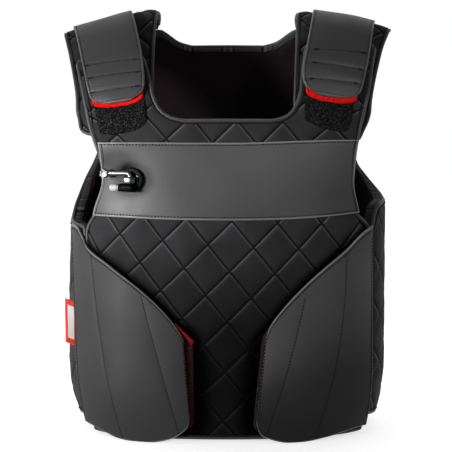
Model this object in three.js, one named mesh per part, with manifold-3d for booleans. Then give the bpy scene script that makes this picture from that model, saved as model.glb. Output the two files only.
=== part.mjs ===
// Equestrian body protector: a padded, quilted riding vest that stands on its flat hem.
// Millimetres, +Z up, the front faces -Y, and the origin is under the middle of the vest.
import * as THREE from "three";
import { mergeVertices } from "three/addons/utils/BufferGeometryUtils.js";
import Module from "manifold-3d";

const wasm = await Module();
wasm.setup();

// Body form: the outer face of the padding, which every other piece is laid on or under
const HALF_WIDTH = 212;
const HALF_DEPTH = 131;
const WAIST_POWER = 2.5;
const HEM_TOP = 90;
const HEM_TUCK = 15;
const CHEST_LEVEL = 300;
const SHOULDER_LEVEL = 555;
const SHOULDER_POWER = 2.2;
const SHOULDER_FLARE = 126;
const FLARE_TOP_LEVEL = 500;
const SLOPE = 0.25;
const SLOPE_START_X = 100;
const SLOPE_SOFTNESS = 30;
const SLOPE_LEVELS = { from: 360, to: 480 };
const FORM_BEHIND_ORIGIN = 4.5;

// Hem: flat where the vest stands, at front and back, and arched a little over the hips
const HEM_DIP = 5;
const HEM_ARCH_RISE = 7;
const HEM_ARCH_HALF = 90;

// Padding and quilting
const FRONT_THICKNESS = 20;
const TAB_THICKNESS = 13;
const TAB_TAPER_LEVELS = { from: 380, to: 440 };
const BACK_THICKNESS = 18;
const LINING_THICKNESS = 1.5;
const PAD_THICKNESS = 13;
const PAD_BEHIND_TAB = 2.5;
const PAD_RISE_ARCH = { from: 62, to: 86 };
const QUILT_COLUMNS = 40;
const QUILT_ROW = 30;
const QUILT_DEPTH = 2;
const FRONT_COLUMNS = 7;
const BACK_TOP_LEVEL = 538;
const FRONT_TOP_LEVEL = 528;
const FRONT_HEM = -2;
const BELOW_HEM = 14;
const SEAM_GAP = 0.3;
const PANEL_GAP = 0.5;
const LAYER_GAP = 1;

// Leather-look pieces, hook pads and trim
const BAND = { bottom: 280, top: 377, thickness: 2 };
const PATCH = { x: 130, z: 424, width: 62, height: 74, corner: 9, thickness: 2 };
const TIP_THICKNESS = 1.2;
const STRAP_THICKNESS = 3;
const FLAP_THICKNESS = 3;
const BACKING_THICKNESS = 3;
const LABEL = { around: -222, z: 141, stands: 13, thickness: 1.2, height: 58 };

// The left shoulder sits a little further out than the right one
const OUTWARD_SHIFT = { left: 6.5, right: -2 };
const PAD_SHIFT = { left: 8, right: -6 };

// The right strap ends a little higher than the left one, and the right pad a little lower
const END_RAISE = { left: 0, right: 1.7 };
const PAD_RAISE = { left: 0, right: -2.5 };
const END_RAISE_ARCH = { from: 34, to: 60 };

// Valve on the chest band, in its own frame: x along the band, -y out of it, z up
const VALVE = { x: -123.7, z: 329, turn: -17, axisOut: 11 };
const VALVE_PLATE = { left: -10, middle: 4, top: 17, bottom: -18, thickness: 4.5 };
const VALVE_BODY = { radius: 6.5, left: -6, right: 14, z: -9.5, neckWidth: 12, neckHeight: 9 };
const VALVE_COLLAR = { x: 1.5, acrossFlats: 12, bottom: -2.7, top: 4.5 };
const VALVE_PIPE = { radius: 3.2, z: 9, bend: 4, left: -24.7 };
const VALVE_NUT = { acrossFlats: 10, left: -35, right: -25, chamfer: 0.8 };
const VALVE_BUTTON = { radius: 4.5, left: -21, flange: -10, flangeRadius: 5.3, right: -6.3, rounding: 1.5 };

const { lerp, smoothstep, degToRad } = THREE.MathUtils;

// Half the width of the form at a level: tucked in at the hem, flared toward the shoulders
function halfWidth(level) {
  const tuck = HEM_TUCK * Math.max(0, 1 - level / HEM_TOP) ** 2;
  return HALF_WIDTH - tuck + SHOULDER_FLARE * smoothstep(level, CHEST_LEVEL, FLARE_TOP_LEVEL);
}

// Half the depth of the form at a level: full up to the chest, then rounding over to the shoulders
function halfDepth(level) {
  const tuck = (HEM_TUCK / 2) * Math.max(0, 1 - level / HEM_TOP) ** 2;
  const rise = Math.max(0, level - CHEST_LEVEL) / (SHOULDER_LEVEL - CHEST_LEVEL);
  return (HALF_DEPTH - tuck) * Math.max(0, 1 - rise ** SHOULDER_POWER) ** (1 / SHOULDER_POWER);
}

// Point of the form at a given x and level; depth is negative at the front and positive at the back
function formPoint(x, level, depth) {
  const share = Math.min(1, Math.abs(x) / halfWidth(level));
  const y = depth * (1 - share ** WAIST_POWER) ** (1 / WAIST_POWER);
  const past = Math.abs(x) - SLOPE_START_X;
  const drop = (SLOPE / 2) * (past + Math.hypot(past, SLOPE_SOFTNESS));
  return new THREE.Vector3(x, y, level - drop * smoothstep(level, SLOPE_LEVELS.from, SLOPE_LEVELS.to));
}

// Quarter of the waist outline, from the front centre to the side
class WaistQuarter extends THREE.Curve {
  getPoint(share) {
    const angle = (share * Math.PI) / 2;
    const power = 2 / WAIST_POWER;
    return new THREE.Vector2(HALF_WIDTH * Math.sin(angle) ** power, HALF_DEPTH * Math.cos(angle) ** power);
  }
}
const waist = new WaistQuarter();
const QUARTER = waist.getLength();
const QUILT_COLUMN = (4 * QUARTER) / QUILT_COLUMNS;

// Point of the form at a distance around the waist (0 at the front centre, + toward +X) and a level
function aroundPoint(around, level) {
  const turned = THREE.MathUtils.euclideanModulo(around + 2 * QUARTER, 4 * QUARTER) - 2 * QUARTER;
  const atBack = Math.abs(turned) > QUARTER;
  const along = atBack ? 2 * QUARTER - Math.abs(turned) : Math.abs(turned);
  const waistX = waist.getPointAt(along / QUARTER).x;
  const flare = (halfWidth(level) - HALF_WIDTH) * (waistX / HALF_WIDTH) ** 4;
  return formPoint(Math.sign(turned) * (waistX + flare), level, (atBack ? 1 : -1) * halfDepth(level));
}

// Point of the form over a shoulder: arch is 0 low on the chest, 90 on top and 180 low on the back
function archPoint(x, arch) {
  const angle = degToRad(arch);
  const power = 2 / SHOULDER_POWER;
  const level = CHEST_LEVEL + (SHOULDER_LEVEL - CHEST_LEVEL) * Math.sin(angle) ** power;
  return formPoint(x, level, -Math.sign(Math.cos(angle)) * HALF_DEPTH * Math.abs(Math.cos(angle)) ** power);
}

// Point lifted off a surface of two parameters, along its outward normal
function lifted(surface, u, v, lift) {
  const step = 0.4;
  const alongU = surface(u + step, v).sub(surface(u - step, v));
  const alongV = surface(u, v + step).sub(surface(u, v - step));
  return surface(u, v).addScaledVector(alongU.cross(alongV).normalize(), lift);
}

// Closed wall on a surface: grid[row][column] holds { u, v, inner, outer }, the last two being lifts.
// Cells are split so that the diagonals join the points whose row and column add up to an even number.
function wallOnSurface(surface, grid) {
  const rows = grid.length;
  const columns = grid[0].length;
  const top = rows - 1;
  const end = columns - 1;
  const points = [];
  for (const side of ["outer", "inner"])
    for (const row of grid) for (const cell of row) points.push(lifted(surface, cell.u, cell.v, cell[side]));
  const index = [];
  const outer = (row, column) => row * columns + column;
  const inner = (row, column) => (rows + row) * columns + column;
  const quad = (a, b, c, d) => index.push(a, b, c, a, c, d);
  for (let row = 0; row < top; row++)
    for (let column = 0; column < end; column++) {
      const ring = [[row, column], [row, column + 1], [row + 1, column + 1], [row + 1, column]];
      if ((row + column) % 2) ring.push(ring.shift());
      const [a, b, c, d] = ring;
      quad(outer(...a), outer(...b), outer(...c), outer(...d));
      quad(inner(...a), inner(...d), inner(...c), inner(...b));
    }
  for (let column = 0; column < end; column++) {
    quad(inner(0, column), inner(0, column + 1), outer(0, column + 1), outer(0, column));
    quad(outer(top, column), outer(top, column + 1), inner(top, column + 1), inner(top, column));
  }
  for (let row = 0; row < top; row++) {
    quad(inner(row + 1, 0), inner(row, 0), outer(row, 0), outer(row + 1, 0));
    quad(outer(row + 1, end), outer(row, end), inner(row, end), inner(row + 1, end));
  }
  const geometry = new THREE.BufferGeometry().setFromPoints(points);
  geometry.setIndex(index);
  return geometry;
}

// Evenly spaced numbers, both ends included
function spaced(from, to, steps) {
  return Array.from({ length: steps + 1 }, (_, step) => lerp(from, to, step / steps));
}

function solidOf(geometry) {
  const bare = geometry.clone();
  bare.deleteAttribute("normal");
  bare.deleteAttribute("uv");
  const merged = mergeVertices(bare);
  const mesh = { numProp: 3, vertProperties: merged.attributes.position.array, triVerts: merged.index.array };
  return new wasm.Manifold(new wasm.Mesh(mesh));
}

function geometryOf(solid) {
  const mesh = solid.getMesh();
  const geometry = new THREE.BufferGeometry();
  geometry.setAttribute("position", new THREE.BufferAttribute(mesh.vertProperties, 3));
  geometry.setIndex(new THREE.BufferAttribute(mesh.triVerts, 1));
  return geometry;
}

// Cutter seen from the front: an outline in x and z, pushed through from one y to another
function throughFront(shape, fromY, toY) {
  const settings = { depth: toY - fromY, bevelEnabled: false, curveSegments: 3 };
  return new THREE.ExtrudeGeometry(shape, settings).rotateX(Math.PI / 2).translate(0, toY, 0);
}

const toVector = ({ x, z }) => new THREE.Vector2(x, z);
const mirrored = ({ x, z }) => ({ x: -x, z });

const vest = new THREE.Group();
const body = new THREE.Group();
body.position.set(0, FORM_BEHIND_ORIGIN, HEM_DIP);
vest.add(body);

function addPiece(name, geometry, material, parent = body) {
  geometry.computeVertexNormals();
  const mesh = new THREE.Mesh(geometry, material);
  mesh.name = name;
  parent.add(mesh);
  return mesh;
}

const fabric = new THREE.MeshStandardMaterial({ color: 0x26262a, roughness: 0.85, metalness: 0 });
const lining = new THREE.MeshStandardMaterial({ color: 0x1d1218, roughness: 0.9, metalness: 0 });
const leather = new THREE.MeshStandardMaterial({ color: 0x4a484a, roughness: 0.55, metalness: 0 });
const loopPile = new THREE.MeshStandardMaterial({ color: 0x141416, roughness: 1, metalness: 0 });
const hookPile = new THREE.MeshStandardMaterial({ color: 0x33191b, roughness: 1, metalness: 0 });
const redFelt = new THREE.MeshStandardMaterial({ color: 0xd8120f, roughness: 0.8, metalness: 0 });
const chrome = new THREE.MeshStandardMaterial({ color: 0xc8cacc, roughness: 0.15, metalness: 1 });
const blackPlastic = new THREE.MeshStandardMaterial({ color: 0x101012, roughness: 0.5, metalness: 0 });
const palePlastic = new THREE.MeshStandardMaterial({ color: 0xd9dadc, roughness: 0.35, metalness: 0 });

// Front panel: quilted pad with a square neck scoop between two shoulder tabs
const LOW_ARMHOLE = [
  { x: 200, z: 246 },
  { x: 176, z: 268 },
  { x: 164, z: 296 },
  { x: 161, z: 330 },
];
const LEFT_TAB_EDGE = [
  { x: 167.5, z: 378 },
  { x: 182, z: 420 },
  { x: 195.5, z: 465 },
  { x: 203, z: 490 },
];
const RIGHT_TAB_EDGE = [
  { x: 167, z: 378 },
  { x: 177, z: 420 },
  { x: 187, z: 465 },
  { x: 194.5, z: 498 },
];
const LEFT_TAB_TOP = [
  { x: 198, z: 496 },
  { x: 103, z: 499 },
];
const RIGHT_TAB_TOP = [
  { x: 189, z: 504 },
  { x: 103, z: 504 },
];
const FRONT_NECK = [
  { x: 97, z: 494 },
  { x: 93, z: 468 },
  { x: 90, z: 444 },
  { x: 84, z: 424 },
  { x: 73, z: 411 },
  { x: 56, z: 406 },
];

function frontThickness(level) {
  const taper = smoothstep(level, TAB_TAPER_LEVELS.from, TAB_TAPER_LEVELS.to);
  return lerp(FRONT_THICKNESS, TAB_THICKNESS, taper);
}

// Levels of the quilting rows, from just below the hem line to the given top
function quiltLevels(top) {
  const levels = [-BELOW_HEM];
  for (let level = QUILT_ROW; level < top - QUILT_ROW / 3; level += QUILT_ROW) levels.push(level);
  return [...levels, top];
}

// Quilted wall: its outer face dips along the stitched diagonals of the lattice
function quiltedWall(firstColumn, lastColumn, top, thickness) {
  const grid = quiltLevels(top).map((level, row) => {
    const cells = [];
    for (let column = firstColumn; column <= lastColumn; column++) {
      const trim = column === firstColumn ? PANEL_GAP : column === lastColumn ? -PANEL_GAP : 0;
      const stitched = (row + column - firstColumn) % 2 === 0;
      const outer = stitched ? -QUILT_DEPTH : 0;
      cells.push({ u: column * QUILT_COLUMN + trim, v: level, inner: -thickness(level), outer });
    }
    return cells;
  });
  return wallOnSurface(aroundPoint, grid);
}

function frontOutline() {
  const shape = new THREE.Shape();
  const below = LOW_ARMHOLE[0];
  const wide = 2 * HALF_WIDTH;
  shape.moveTo(-wide, FRONT_HEM);
  shape.lineTo(wide, FRONT_HEM);
  shape.lineTo(wide, below.z);
  shape.lineTo(below.x, below.z);
  shape.splineThru([...LOW_ARMHOLE.slice(1), ...RIGHT_TAB_EDGE].map(toVector));
  for (const { x, z } of RIGHT_TAB_TOP) shape.lineTo(x, z);
  shape.lineTo(FRONT_NECK[0].x, FRONT_NECK[0].z);
  shape.splineThru(FRONT_NECK.slice(1).map(toVector));
  const neckBack = FRONT_NECK.map(mirrored).reverse();
  shape.lineTo(neckBack[0].x, neckBack[0].z);
  shape.splineThru(neckBack.slice(1).map(toVector));
  for (const { x, z } of LEFT_TAB_TOP.map(mirrored).reverse()) shape.lineTo(x, z);
  const armBack = [...LOW_ARMHOLE, ...LEFT_TAB_EDGE].map(mirrored).reverse();
  shape.lineTo(armBack[0].x, armBack[0].z);
  shape.splineThru(armBack.slice(1).map(toVector));
  shape.lineTo(-wide, below.z);
  return shape;
}

const frontCutter = solidOf(throughFront(frontOutline(), -2 * HALF_DEPTH, 0));
const frontWall = quiltedWall(-FRONT_COLUMNS, FRONT_COLUMNS, FRONT_TOP_LEVEL, frontThickness);
addPiece("front_panel", geometryOf(solidOf(frontWall).intersect(frontCutter)), fabric);

// Back panel and its lining: they wrap round the sides as wings, with armholes cut at 45 degrees
const LEFT_WING_EDGE = [
  { x: 230, z: 263 },
  { x: 190, z: 268 },
  { x: 150, z: 279 },
  { x: 105, z: 313 },
  { x: 66, z: 354 },
];
const RIGHT_WING_EDGE = [
  { x: 230, z: 263 },
  { x: 200, z: 265 },
  { x: 187, z: 272 },
  { x: 176, z: 288 },
  { x: 163, z: 298 },
  { x: 150, z: 303 },
  { x: 117, z: 314 },
  { x: 82, z: 334 },
  { x: 62, z: 358 },
];
const BACK_SHOULDER_EDGE = [
  { x: 50, z: 410 },
  { x: 66, z: 452 },
  { x: 95, z: 490 },
  { x: 124, z: 513 },
  { x: 170, z: 545 },
];
const ARMHOLE_TURN = 45;
const BACK_NECK = [
  { x: 97, z: 560 },
  { x: 96, z: 537 },
  { x: 84, z: 530 },
  { x: 68, z: 519 },
  { x: 50, z: 514 },
];

// Cutter for one armhole, pushed out through the back corner of that side
function armholeCutter(side) {
  const shape = new THREE.Shape();
  const wingEdge = side > 0 ? RIGHT_WING_EDGE : LEFT_WING_EDGE;
  const edge = [...wingEdge, ...BACK_SHOULDER_EDGE].map(({ x, z }) => new THREE.Vector2(side * x, z));
  const far = side * 3 * HALF_WIDTH;
  shape.moveTo(far, edge[0].y);
  shape.lineTo(edge[0].x, edge[0].y);
  shape.splineThru(edge.slice(1));
  shape.lineTo(edge.at(-1).x, SHOULDER_LEVEL + QUILT_ROW);
  shape.lineTo(far, SHOULDER_LEVEL + QUILT_ROW);
  return solidOf(throughFront(shape, 0, 3 * HALF_WIDTH).rotateZ(degToRad(-side * ARMHOLE_TURN)));
}

function backNeckCutter() {
  const shape = new THREE.Shape();
  shape.moveTo(BACK_NECK[0].x, BACK_NECK[0].z);
  shape.splineThru(BACK_NECK.slice(1).map(toVector));
  const neckBack = BACK_NECK.map(mirrored).reverse();
  shape.lineTo(neckBack[0].x, neckBack[0].z);
  shape.splineThru(neckBack.slice(1).map(toVector));
  return solidOf(throughFront(shape, 0, 2 * HALF_DEPTH));
}

// Everything under the hem line, seen from the side and pushed through along x
function hemCutter() {
  const deep = -HEM_DIP - HEM_TOP;
  const crown = 2 * HEM_ARCH_RISE - HEM_DIP;
  const shape = new THREE.Shape();
  shape.moveTo(-2 * HALF_DEPTH, deep);
  shape.lineTo(2 * HALF_DEPTH, deep);
  shape.lineTo(2 * HALF_DEPTH, -HEM_DIP);
  shape.lineTo(HEM_ARCH_HALF, -HEM_DIP);
  shape.quadraticCurveTo(0, crown, -HEM_ARCH_HALF, -HEM_DIP);
  shape.lineTo(-2 * HALF_DEPTH, -HEM_DIP);
  const arch = throughFront(shape, -2 * HALF_WIDTH, 2 * HALF_WIDTH);
  return solidOf(arch.rotateZ(Math.PI / 2));
}

const backCutters = [armholeCutter(1), armholeCutter(-1), backNeckCutter(), hemCutter()];

function cutAsBack(wall) {
  return geometryOf(backCutters.reduce((solid, cutter) => solid.subtract(cutter), solidOf(wall)));
}

const lastBackColumn = QUILT_COLUMNS - FRONT_COLUMNS;
const backWall = quiltedWall(FRONT_COLUMNS, lastBackColumn, BACK_TOP_LEVEL, () => BACK_THICKNESS);
addPiece("back_panel", cutAsBack(backWall), fabric);

const liningGrid = quiltLevels(BACK_TOP_LEVEL).map((level) =>
  spaced(FRONT_COLUMNS, lastBackColumn, lastBackColumn - FRONT_COLUMNS).map((column) => ({
    u: column * QUILT_COLUMN + Math.sign(QUILT_COLUMNS / 2 - column) * SEAM_GAP,
    v: level,
    inner: -BACK_THICKNESS - SEAM_GAP - LINING_THICKNESS,
    outer: -BACK_THICKNESS - SEAM_GAP,
  })),
);
addPiece("back_lining", cutAsBack(wallOnSurface(aroundPoint, liningGrid)), lining);

// Chest band: leather-look strip across the front panel, ending at its armhole edges
const BAND_COLUMNS = 18;
const BAND_REACH = 190;
const BAND_MARGIN = 12;
const bandGrid = spaced(BAND.bottom - BAND_MARGIN, BAND.top + BAND_MARGIN, 4).map((level) =>
  spaced(-BAND_REACH, BAND_REACH, BAND_COLUMNS).map((around) => ({
    u: around,
    v: level,
    inner: SEAM_GAP,
    outer: SEAM_GAP + BAND.thickness,
  })),
);
const bandBlock = new THREE.BoxGeometry(4 * HALF_WIDTH, 2 * HALF_DEPTH, BAND.top - BAND.bottom);
bandBlock.translate(0, -HALF_DEPTH, (BAND.top + BAND.bottom) / 2);
const bandSolid = solidOf(wallOnSurface(aroundPoint, bandGrid)).intersect(frontCutter);
addPiece("chest_band", geometryOf(bandSolid.intersect(solidOf(bandBlock))), leather);

// Strip over a shoulder: rows of { arch, left, right } smoothed into a ribbon of the given lifts
function shoulderRibbon({ rows, lengthSteps, widthSteps, inner, thickness }) {
  const points = rows.map(({ arch, left, right }) => new THREE.Vector3(arch, left, right));
  const edges = new THREE.CatmullRomCurve3(points);
  const grid = edges.getPoints(lengthSteps).map(({ x: arch, y: left, z: right }) =>
    spaced(left, right, widthSteps).map((x) => ({
      u: x,
      v: arch,
      inner: inner(arch),
      outer: inner(arch) + thickness,
    })),
  );
  return wallOnSurface(archPoint, grid);
}

// The same rows for either shoulder: near is the edge beside the neck, far the edge beside the arm.
// The outward shift is given for each row.
function onSide(side, rows, shift) {
  return rows.map(({ arch, near, far }) => {
    const inside = near + shift(arch);
    const outside = far + shift(arch);
    return side > 0 ? { arch, left: inside, right: outside } : { arch, left: -outside, right: -inside };
  });
}

const PAD_ROWS = [
  { arch: 16.6, near: 122, far: 176 },
  { arch: 17.2, near: 111, far: 184 },
  { arch: 18.6, near: 103, far: 188 },
  { arch: 21.5, near: 97, far: 190 },
  { arch: 30, near: 90, far: 193 },
  { arch: 40, near: 90.5, far: 195 },
  { arch: 60, near: 92.5, far: 207.5 },
  { arch: 75, near: 92, far: 215 },
  { arch: 90, near: 91, far: 220 },
  { arch: 101, near: 91, far: 217 },
  { arch: 109.5, near: 93, far: 211 },
];
const STRAP_ROWS = [
  { arch: 29.05, near: 120, far: 139 },
  { arch: 29.9, near: 110.5, far: 152.5 },
  { arch: 31.2, near: 102, far: 162 },
  { arch: 33.3, near: 98.2, far: 167 },
  { arch: 38, near: 98.5, far: 171 },
  { arch: 50, near: 104, far: 180 },
  { arch: 70, near: 115, far: 192 },
  { arch: 90, near: 122, far: 200 },
  { arch: 110, near: 119, far: 196 },
  { arch: 134, near: 109, far: 180 },
];
const TIP_ROWS = [
  { arch: 27.35, near: 121, far: 141 },
  { arch: 28.1, near: 108, far: 155 },
  { arch: 29.3, near: 101, far: 162.5 },
  { arch: 31, near: 99.8, far: 166 },
  { arch: 38, near: 101, far: 168 },
];
const TIP_COVERED_ARCH = 40;
const PATCH_TOP_ARCH = 44;
const STRAP_SETTLED_ARCH = 62;

function archLevel(arch) {
  const power = 2 / SHOULDER_POWER;
  return CHEST_LEVEL + (SHOULDER_LEVEL - CHEST_LEVEL) * Math.sin(degToRad(arch)) ** power;
}

// The pad hangs behind the front tab and comes up flush with the form on top of the shoulder
function padInner(arch) {
  const behind = frontThickness(archLevel(arch)) + PAD_BEHIND_TAB;
  return -PAD_THICKNESS - behind * (1 - smoothstep(arch, PAD_RISE_ARCH.from, PAD_RISE_ARCH.to));
}

// The strap lies over the patch and the tip in front, then settles on the pad and the back panel
const overPatch = 2 * SEAM_GAP + PATCH.thickness;
const overTip = overPatch + TIP_THICKNESS + SEAM_GAP;
const overPad = 0.8;
function strapInner(arch) {
  const pastTip = smoothstep(arch, TIP_COVERED_ARCH, PATCH_TOP_ARCH);
  const pastPatch = smoothstep(arch, PATCH_TOP_ARCH + 2, STRAP_SETTLED_ARCH);
  return lerp(lerp(overTip, overPatch, pastTip), overPad, pastPatch);
}

function patchOutline(centreX) {
  const { z, width, height, corner } = PATCH;
  const right = centreX + width / 2 - corner;
  const left = centreX - width / 2 + corner;
  const top = z + height / 2 - corner;
  const bottom = z - height / 2 + corner;
  const shape = new THREE.Shape();
  shape.absarc(right, bottom, corner, -Math.PI / 2, 0);
  shape.absarc(right, top, corner, 0, Math.PI / 2);
  shape.absarc(left, top, corner, Math.PI / 2, Math.PI);
  shape.absarc(left, bottom, corner, Math.PI, 1.5 * Math.PI);
  return shape;
}

function patchWall(side, shift) {
  const reach = { from: 80, to: 190, bottom: 370, top: 500 };
  const [from, to] = side > 0 ? [reach.from, reach.to] : [-reach.to, -reach.from];
  const grid = spaced(reach.bottom, reach.top, 7).map((level) =>
    spaced(from, to, 6).map((around) => ({
      u: around,
      v: level,
      inner: SEAM_GAP,
      outer: SEAM_GAP + PATCH.thickness,
    })),
  );
  const cutter = solidOf(throughFront(patchOutline(side * (PATCH.x + shift)), -2 * HALF_DEPTH, 0));
  return geometryOf(solidOf(wallOnSurface(aroundPoint, grid)).intersect(cutter));
}

// Lifts the lower end of a strap or pad
function raised(rows, by) {
  const { from, to } = END_RAISE_ARCH;
  return rows.map((row) => ({ ...row, arch: row.arch + by * (1 - smoothstep(row.arch, from, to)) }));
}

for (const [word, side] of [["left", -1], ["right", 1]]) {
  const strapShift = () => OUTWARD_SHIFT[word];
  const padShift = (arch) => PAD_SHIFT[word] * Math.max(0, Math.cos(degToRad(arch)));
  const pad = shoulderRibbon({
    rows: onSide(side, raised(PAD_ROWS, PAD_RAISE[word]), padShift),
    lengthSteps: 22,
    widthSteps: 5,
    inner: padInner,
    thickness: PAD_THICKNESS,
  });
  const tip = shoulderRibbon({
    rows: onSide(side, raised(TIP_ROWS, END_RAISE[word]), strapShift),
    lengthSteps: 8,
    widthSteps: 5,
    inner: () => overPatch,
    thickness: TIP_THICKNESS,
  });
  const strap = shoulderRibbon({
    rows: onSide(side, raised(STRAP_ROWS, END_RAISE[word]), strapShift),
    lengthSteps: 36,
    widthSteps: 3,
    inner: strapInner,
    thickness: STRAP_THICKNESS,
  });
  addPiece(`shoulder_pad_${word}`, pad, fabric);
  addPiece(`loop_patch_${word}`, patchWall(side, OUTWARD_SHIFT[word]), loopPile);
  addPiece(`strap_tip_${word}`, tip, redFelt);
  addPiece(`shoulder_strap_${word}`, strap, leather);
}

// Waist flaps and their hook pads: ribs run from the hem to the upper edge, given by their two ends
// (distance around the waist and height), from -X to +X
const FLAP_LEFT = [
  { topAround: -228, topZ: 270, hemAround: -209, hemZ: 10 },
  { topAround: -211, topZ: 267, hemAround: -185, hemZ: 6.5 },
  { topAround: -199, topZ: 255, hemAround: -163, hemZ: 2 },
  { topAround: -186, topZ: 239, hemAround: -142, hemZ: -2.5 },
  { topAround: -150, topZ: 219.5, hemAround: -103, hemZ: -4.6 },
  { topAround: -110, topZ: 191.5, hemAround: -72, hemZ: 1.5 },
  { topAround: -82, topZ: 166, hemAround: -58, hemZ: 10 },
  { topAround: -64, topZ: 144, hemAround: -50, hemZ: 19 },
  { topAround: -56, topZ: 130, hemAround: -48.4, hemZ: 33 },
];
const FLAP_RIGHT = [
  { topAround: 47, topZ: 122, hemAround: 36, hemZ: 24 },
  { topAround: 52, topZ: 144, hemAround: 40, hemZ: 9 },
  { topAround: 70, topZ: 169, hemAround: 50, hemZ: 2 },
  { topAround: 97, topZ: 197, hemAround: 74, hemZ: -4.2 },
  { topAround: 124, topZ: 220, hemAround: 100, hemZ: -3.6 },
  { topAround: 153, topZ: 241, hemAround: 128, hemZ: 0.5 },
  { topAround: 176, topZ: 259, hemAround: 165, hemZ: 6 },
  { topAround: 197, topZ: 269, hemAround: 199, hemZ: 7 },
];
const BACKING_LEFT = [
  { topAround: -122, topZ: 185, hemAround: -116, hemZ: 16 },
  { topAround: -84, topZ: 156, hemAround: -72, hemZ: 12 },
  { topAround: -56, topZ: 132, hemAround: -50, hemZ: 14 },
  { topAround: -43.5, topZ: 122, hemAround: -43, hemZ: 22 },
];
const BACKING_RIGHT = [
  { topAround: 42, topZ: 124, hemAround: 32, hemZ: 20 },
  { topAround: 48, topZ: 138, hemAround: 38, hemZ: 12 },
  { topAround: 80, topZ: 168, hemAround: 66, hemZ: 12 },
  { topAround: 118, topZ: 200, hemAround: 108, hemZ: 16 },
];
const TIP_LEFT = [
  { topAround: -66, topZ: 150.5, hemAround: -68, hemZ: 138 },
  { topAround: -55, topZ: 139.5, hemAround: -60, hemZ: 126 },
  { topAround: -42.6, topZ: 127.6, hemAround: -46, hemZ: 117 },
];
const FLAP_LIFT_AROUND = { from: 190, to: 128 };

// Wall between the smoothed top and hem ends of a table of ribs
function ribbedWall(ribs, columnSteps, rowSteps, inner, thickness) {
  const tops = new THREE.SplineCurve(ribs.map((rib) => new THREE.Vector2(rib.topAround, rib.topZ)));
  const hems = new THREE.SplineCurve(ribs.map((rib) => new THREE.Vector2(rib.hemAround, rib.hemZ)));
  const grid = spaced(0, 1, rowSteps).map((rise) =>
    spaced(0, 1, columnSteps).map((across) => {
      const { x: around, y: level } = hems.getPoint(across).lerp(tops.getPoint(across), rise);
      return { u: around, v: level, inner: inner(around), outer: inner(around) + thickness };
    }),
  );
  return wallOnSurface(aroundPoint, grid);
}

// The flap is sewn flat at the side and rides up over what lies under its free end
function flapInner(topLift) {
  const { from, to } = FLAP_LIFT_AROUND;
  return (around) => lerp(topLift, LAYER_GAP, smoothstep(Math.abs(around), to, from));
}

const overBacking = LAYER_GAP + BACKING_THICKNESS + SEAM_GAP;
const overFlapTip = overBacking + TIP_THICKNESS + SEAM_GAP;
addPiece("side_flap_left", ribbedWall(FLAP_LEFT, 16, 8, flapInner(overFlapTip), FLAP_THICKNESS), leather);
addPiece("side_flap_right", ribbedWall(FLAP_RIGHT, 16, 8, flapInner(overBacking), FLAP_THICKNESS), leather);
const onPanel = () => LAYER_GAP;
addPiece("flap_backing_left", ribbedWall(BACKING_LEFT, 9, 4, onPanel, BACKING_THICKNESS), hookPile);
addPiece("flap_backing_right", ribbedWall(BACKING_RIGHT, 9, 4, onPanel, BACKING_THICKNESS), hookPile);
addPiece("flap_tip_left", ribbedWall(TIP_LEFT, 6, 2, () => overBacking, TIP_THICKNESS), redFelt);

// Side label: folded loop of ribbon standing out of the left flap's side seam
const labelFoot = lifted(aroundPoint, LABEL.around, LABEL.z, SEAM_GAP);
const labelTip = lifted(aroundPoint, LABEL.around, LABEL.z, SEAM_GAP + LABEL.stands);
const labelPlate = new THREE.BoxGeometry(LABEL.stands, LABEL.thickness, LABEL.height);
const label = addPiece("side_label", labelPlate, redFelt);
label.position.copy(labelFoot).lerp(labelTip, 0.5);
label.rotation.z = Math.atan2(labelTip.y - labelFoot.y, labelTip.x - labelFoot.x);

// Inflation valve: a housing set on the band, with a bent pipe on top and a plug at its side
const ROUND_SIDES = 16;
const PIPE_SEGMENTS = 5;
const bandFace = SEAM_GAP + BAND.thickness + LAYER_GAP;
const valve = new THREE.Group();
const valveSeat = formPoint(VALVE.x, VALVE.z, -halfDepth(VALVE.z));
const valveTurn = degToRad(VALVE.turn);
valve.position.copy(valveSeat);
valve.position.x += Math.sin(valveTurn) * bandFace;
valve.position.y -= Math.cos(valveTurn) * bandFace;
valve.rotation.z = valveTurn;
body.add(valve);

// Solid of revolution lying along x: profile points are { along, radius }
function turnedAlongX(profile, sides) {
  const points = profile.map(({ along, radius }) => new THREE.Vector2(radius, along));
  return new THREE.LatheGeometry(points, sides).rotateZ(-Math.PI / 2);
}

function hexRadius(acrossFlats) {
  return acrossFlats / 2 / Math.cos(Math.PI / 6);
}

function valveHousing() {
  const { left, middle, top, bottom, thickness } = VALVE_PLATE;
  const plate = new THREE.Shape();
  plate.moveTo(left, bottom);
  plate.absarc(middle, (top + bottom) / 2, (top - bottom) / 2, -Math.PI / 2, Math.PI / 2);
  plate.lineTo(left, top);
  const { radius, left: start, right: end, z, neckWidth, neckHeight } = VALVE_BODY;
  const rounding = radius / 3;
  const barrel = turnedAlongX(
    [
      { along: start, radius: 0 },
      { along: start, radius },
      { along: end - rounding, radius },
      { along: end, radius: radius - rounding },
      { along: end, radius: 0 },
    ],
    ROUND_SIDES,
  ).translate(0, -VALVE.axisOut, z);
  const neck = new THREE.BoxGeometry(neckWidth, VALVE.axisOut, neckHeight);
  neck.translate((start + end) / 2, -VALVE.axisOut / 2, z);
  return geometryOf(solidOf(throughFront(plate, -thickness, 0)).add(solidOf(neck)).add(solidOf(barrel)));
}

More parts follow.
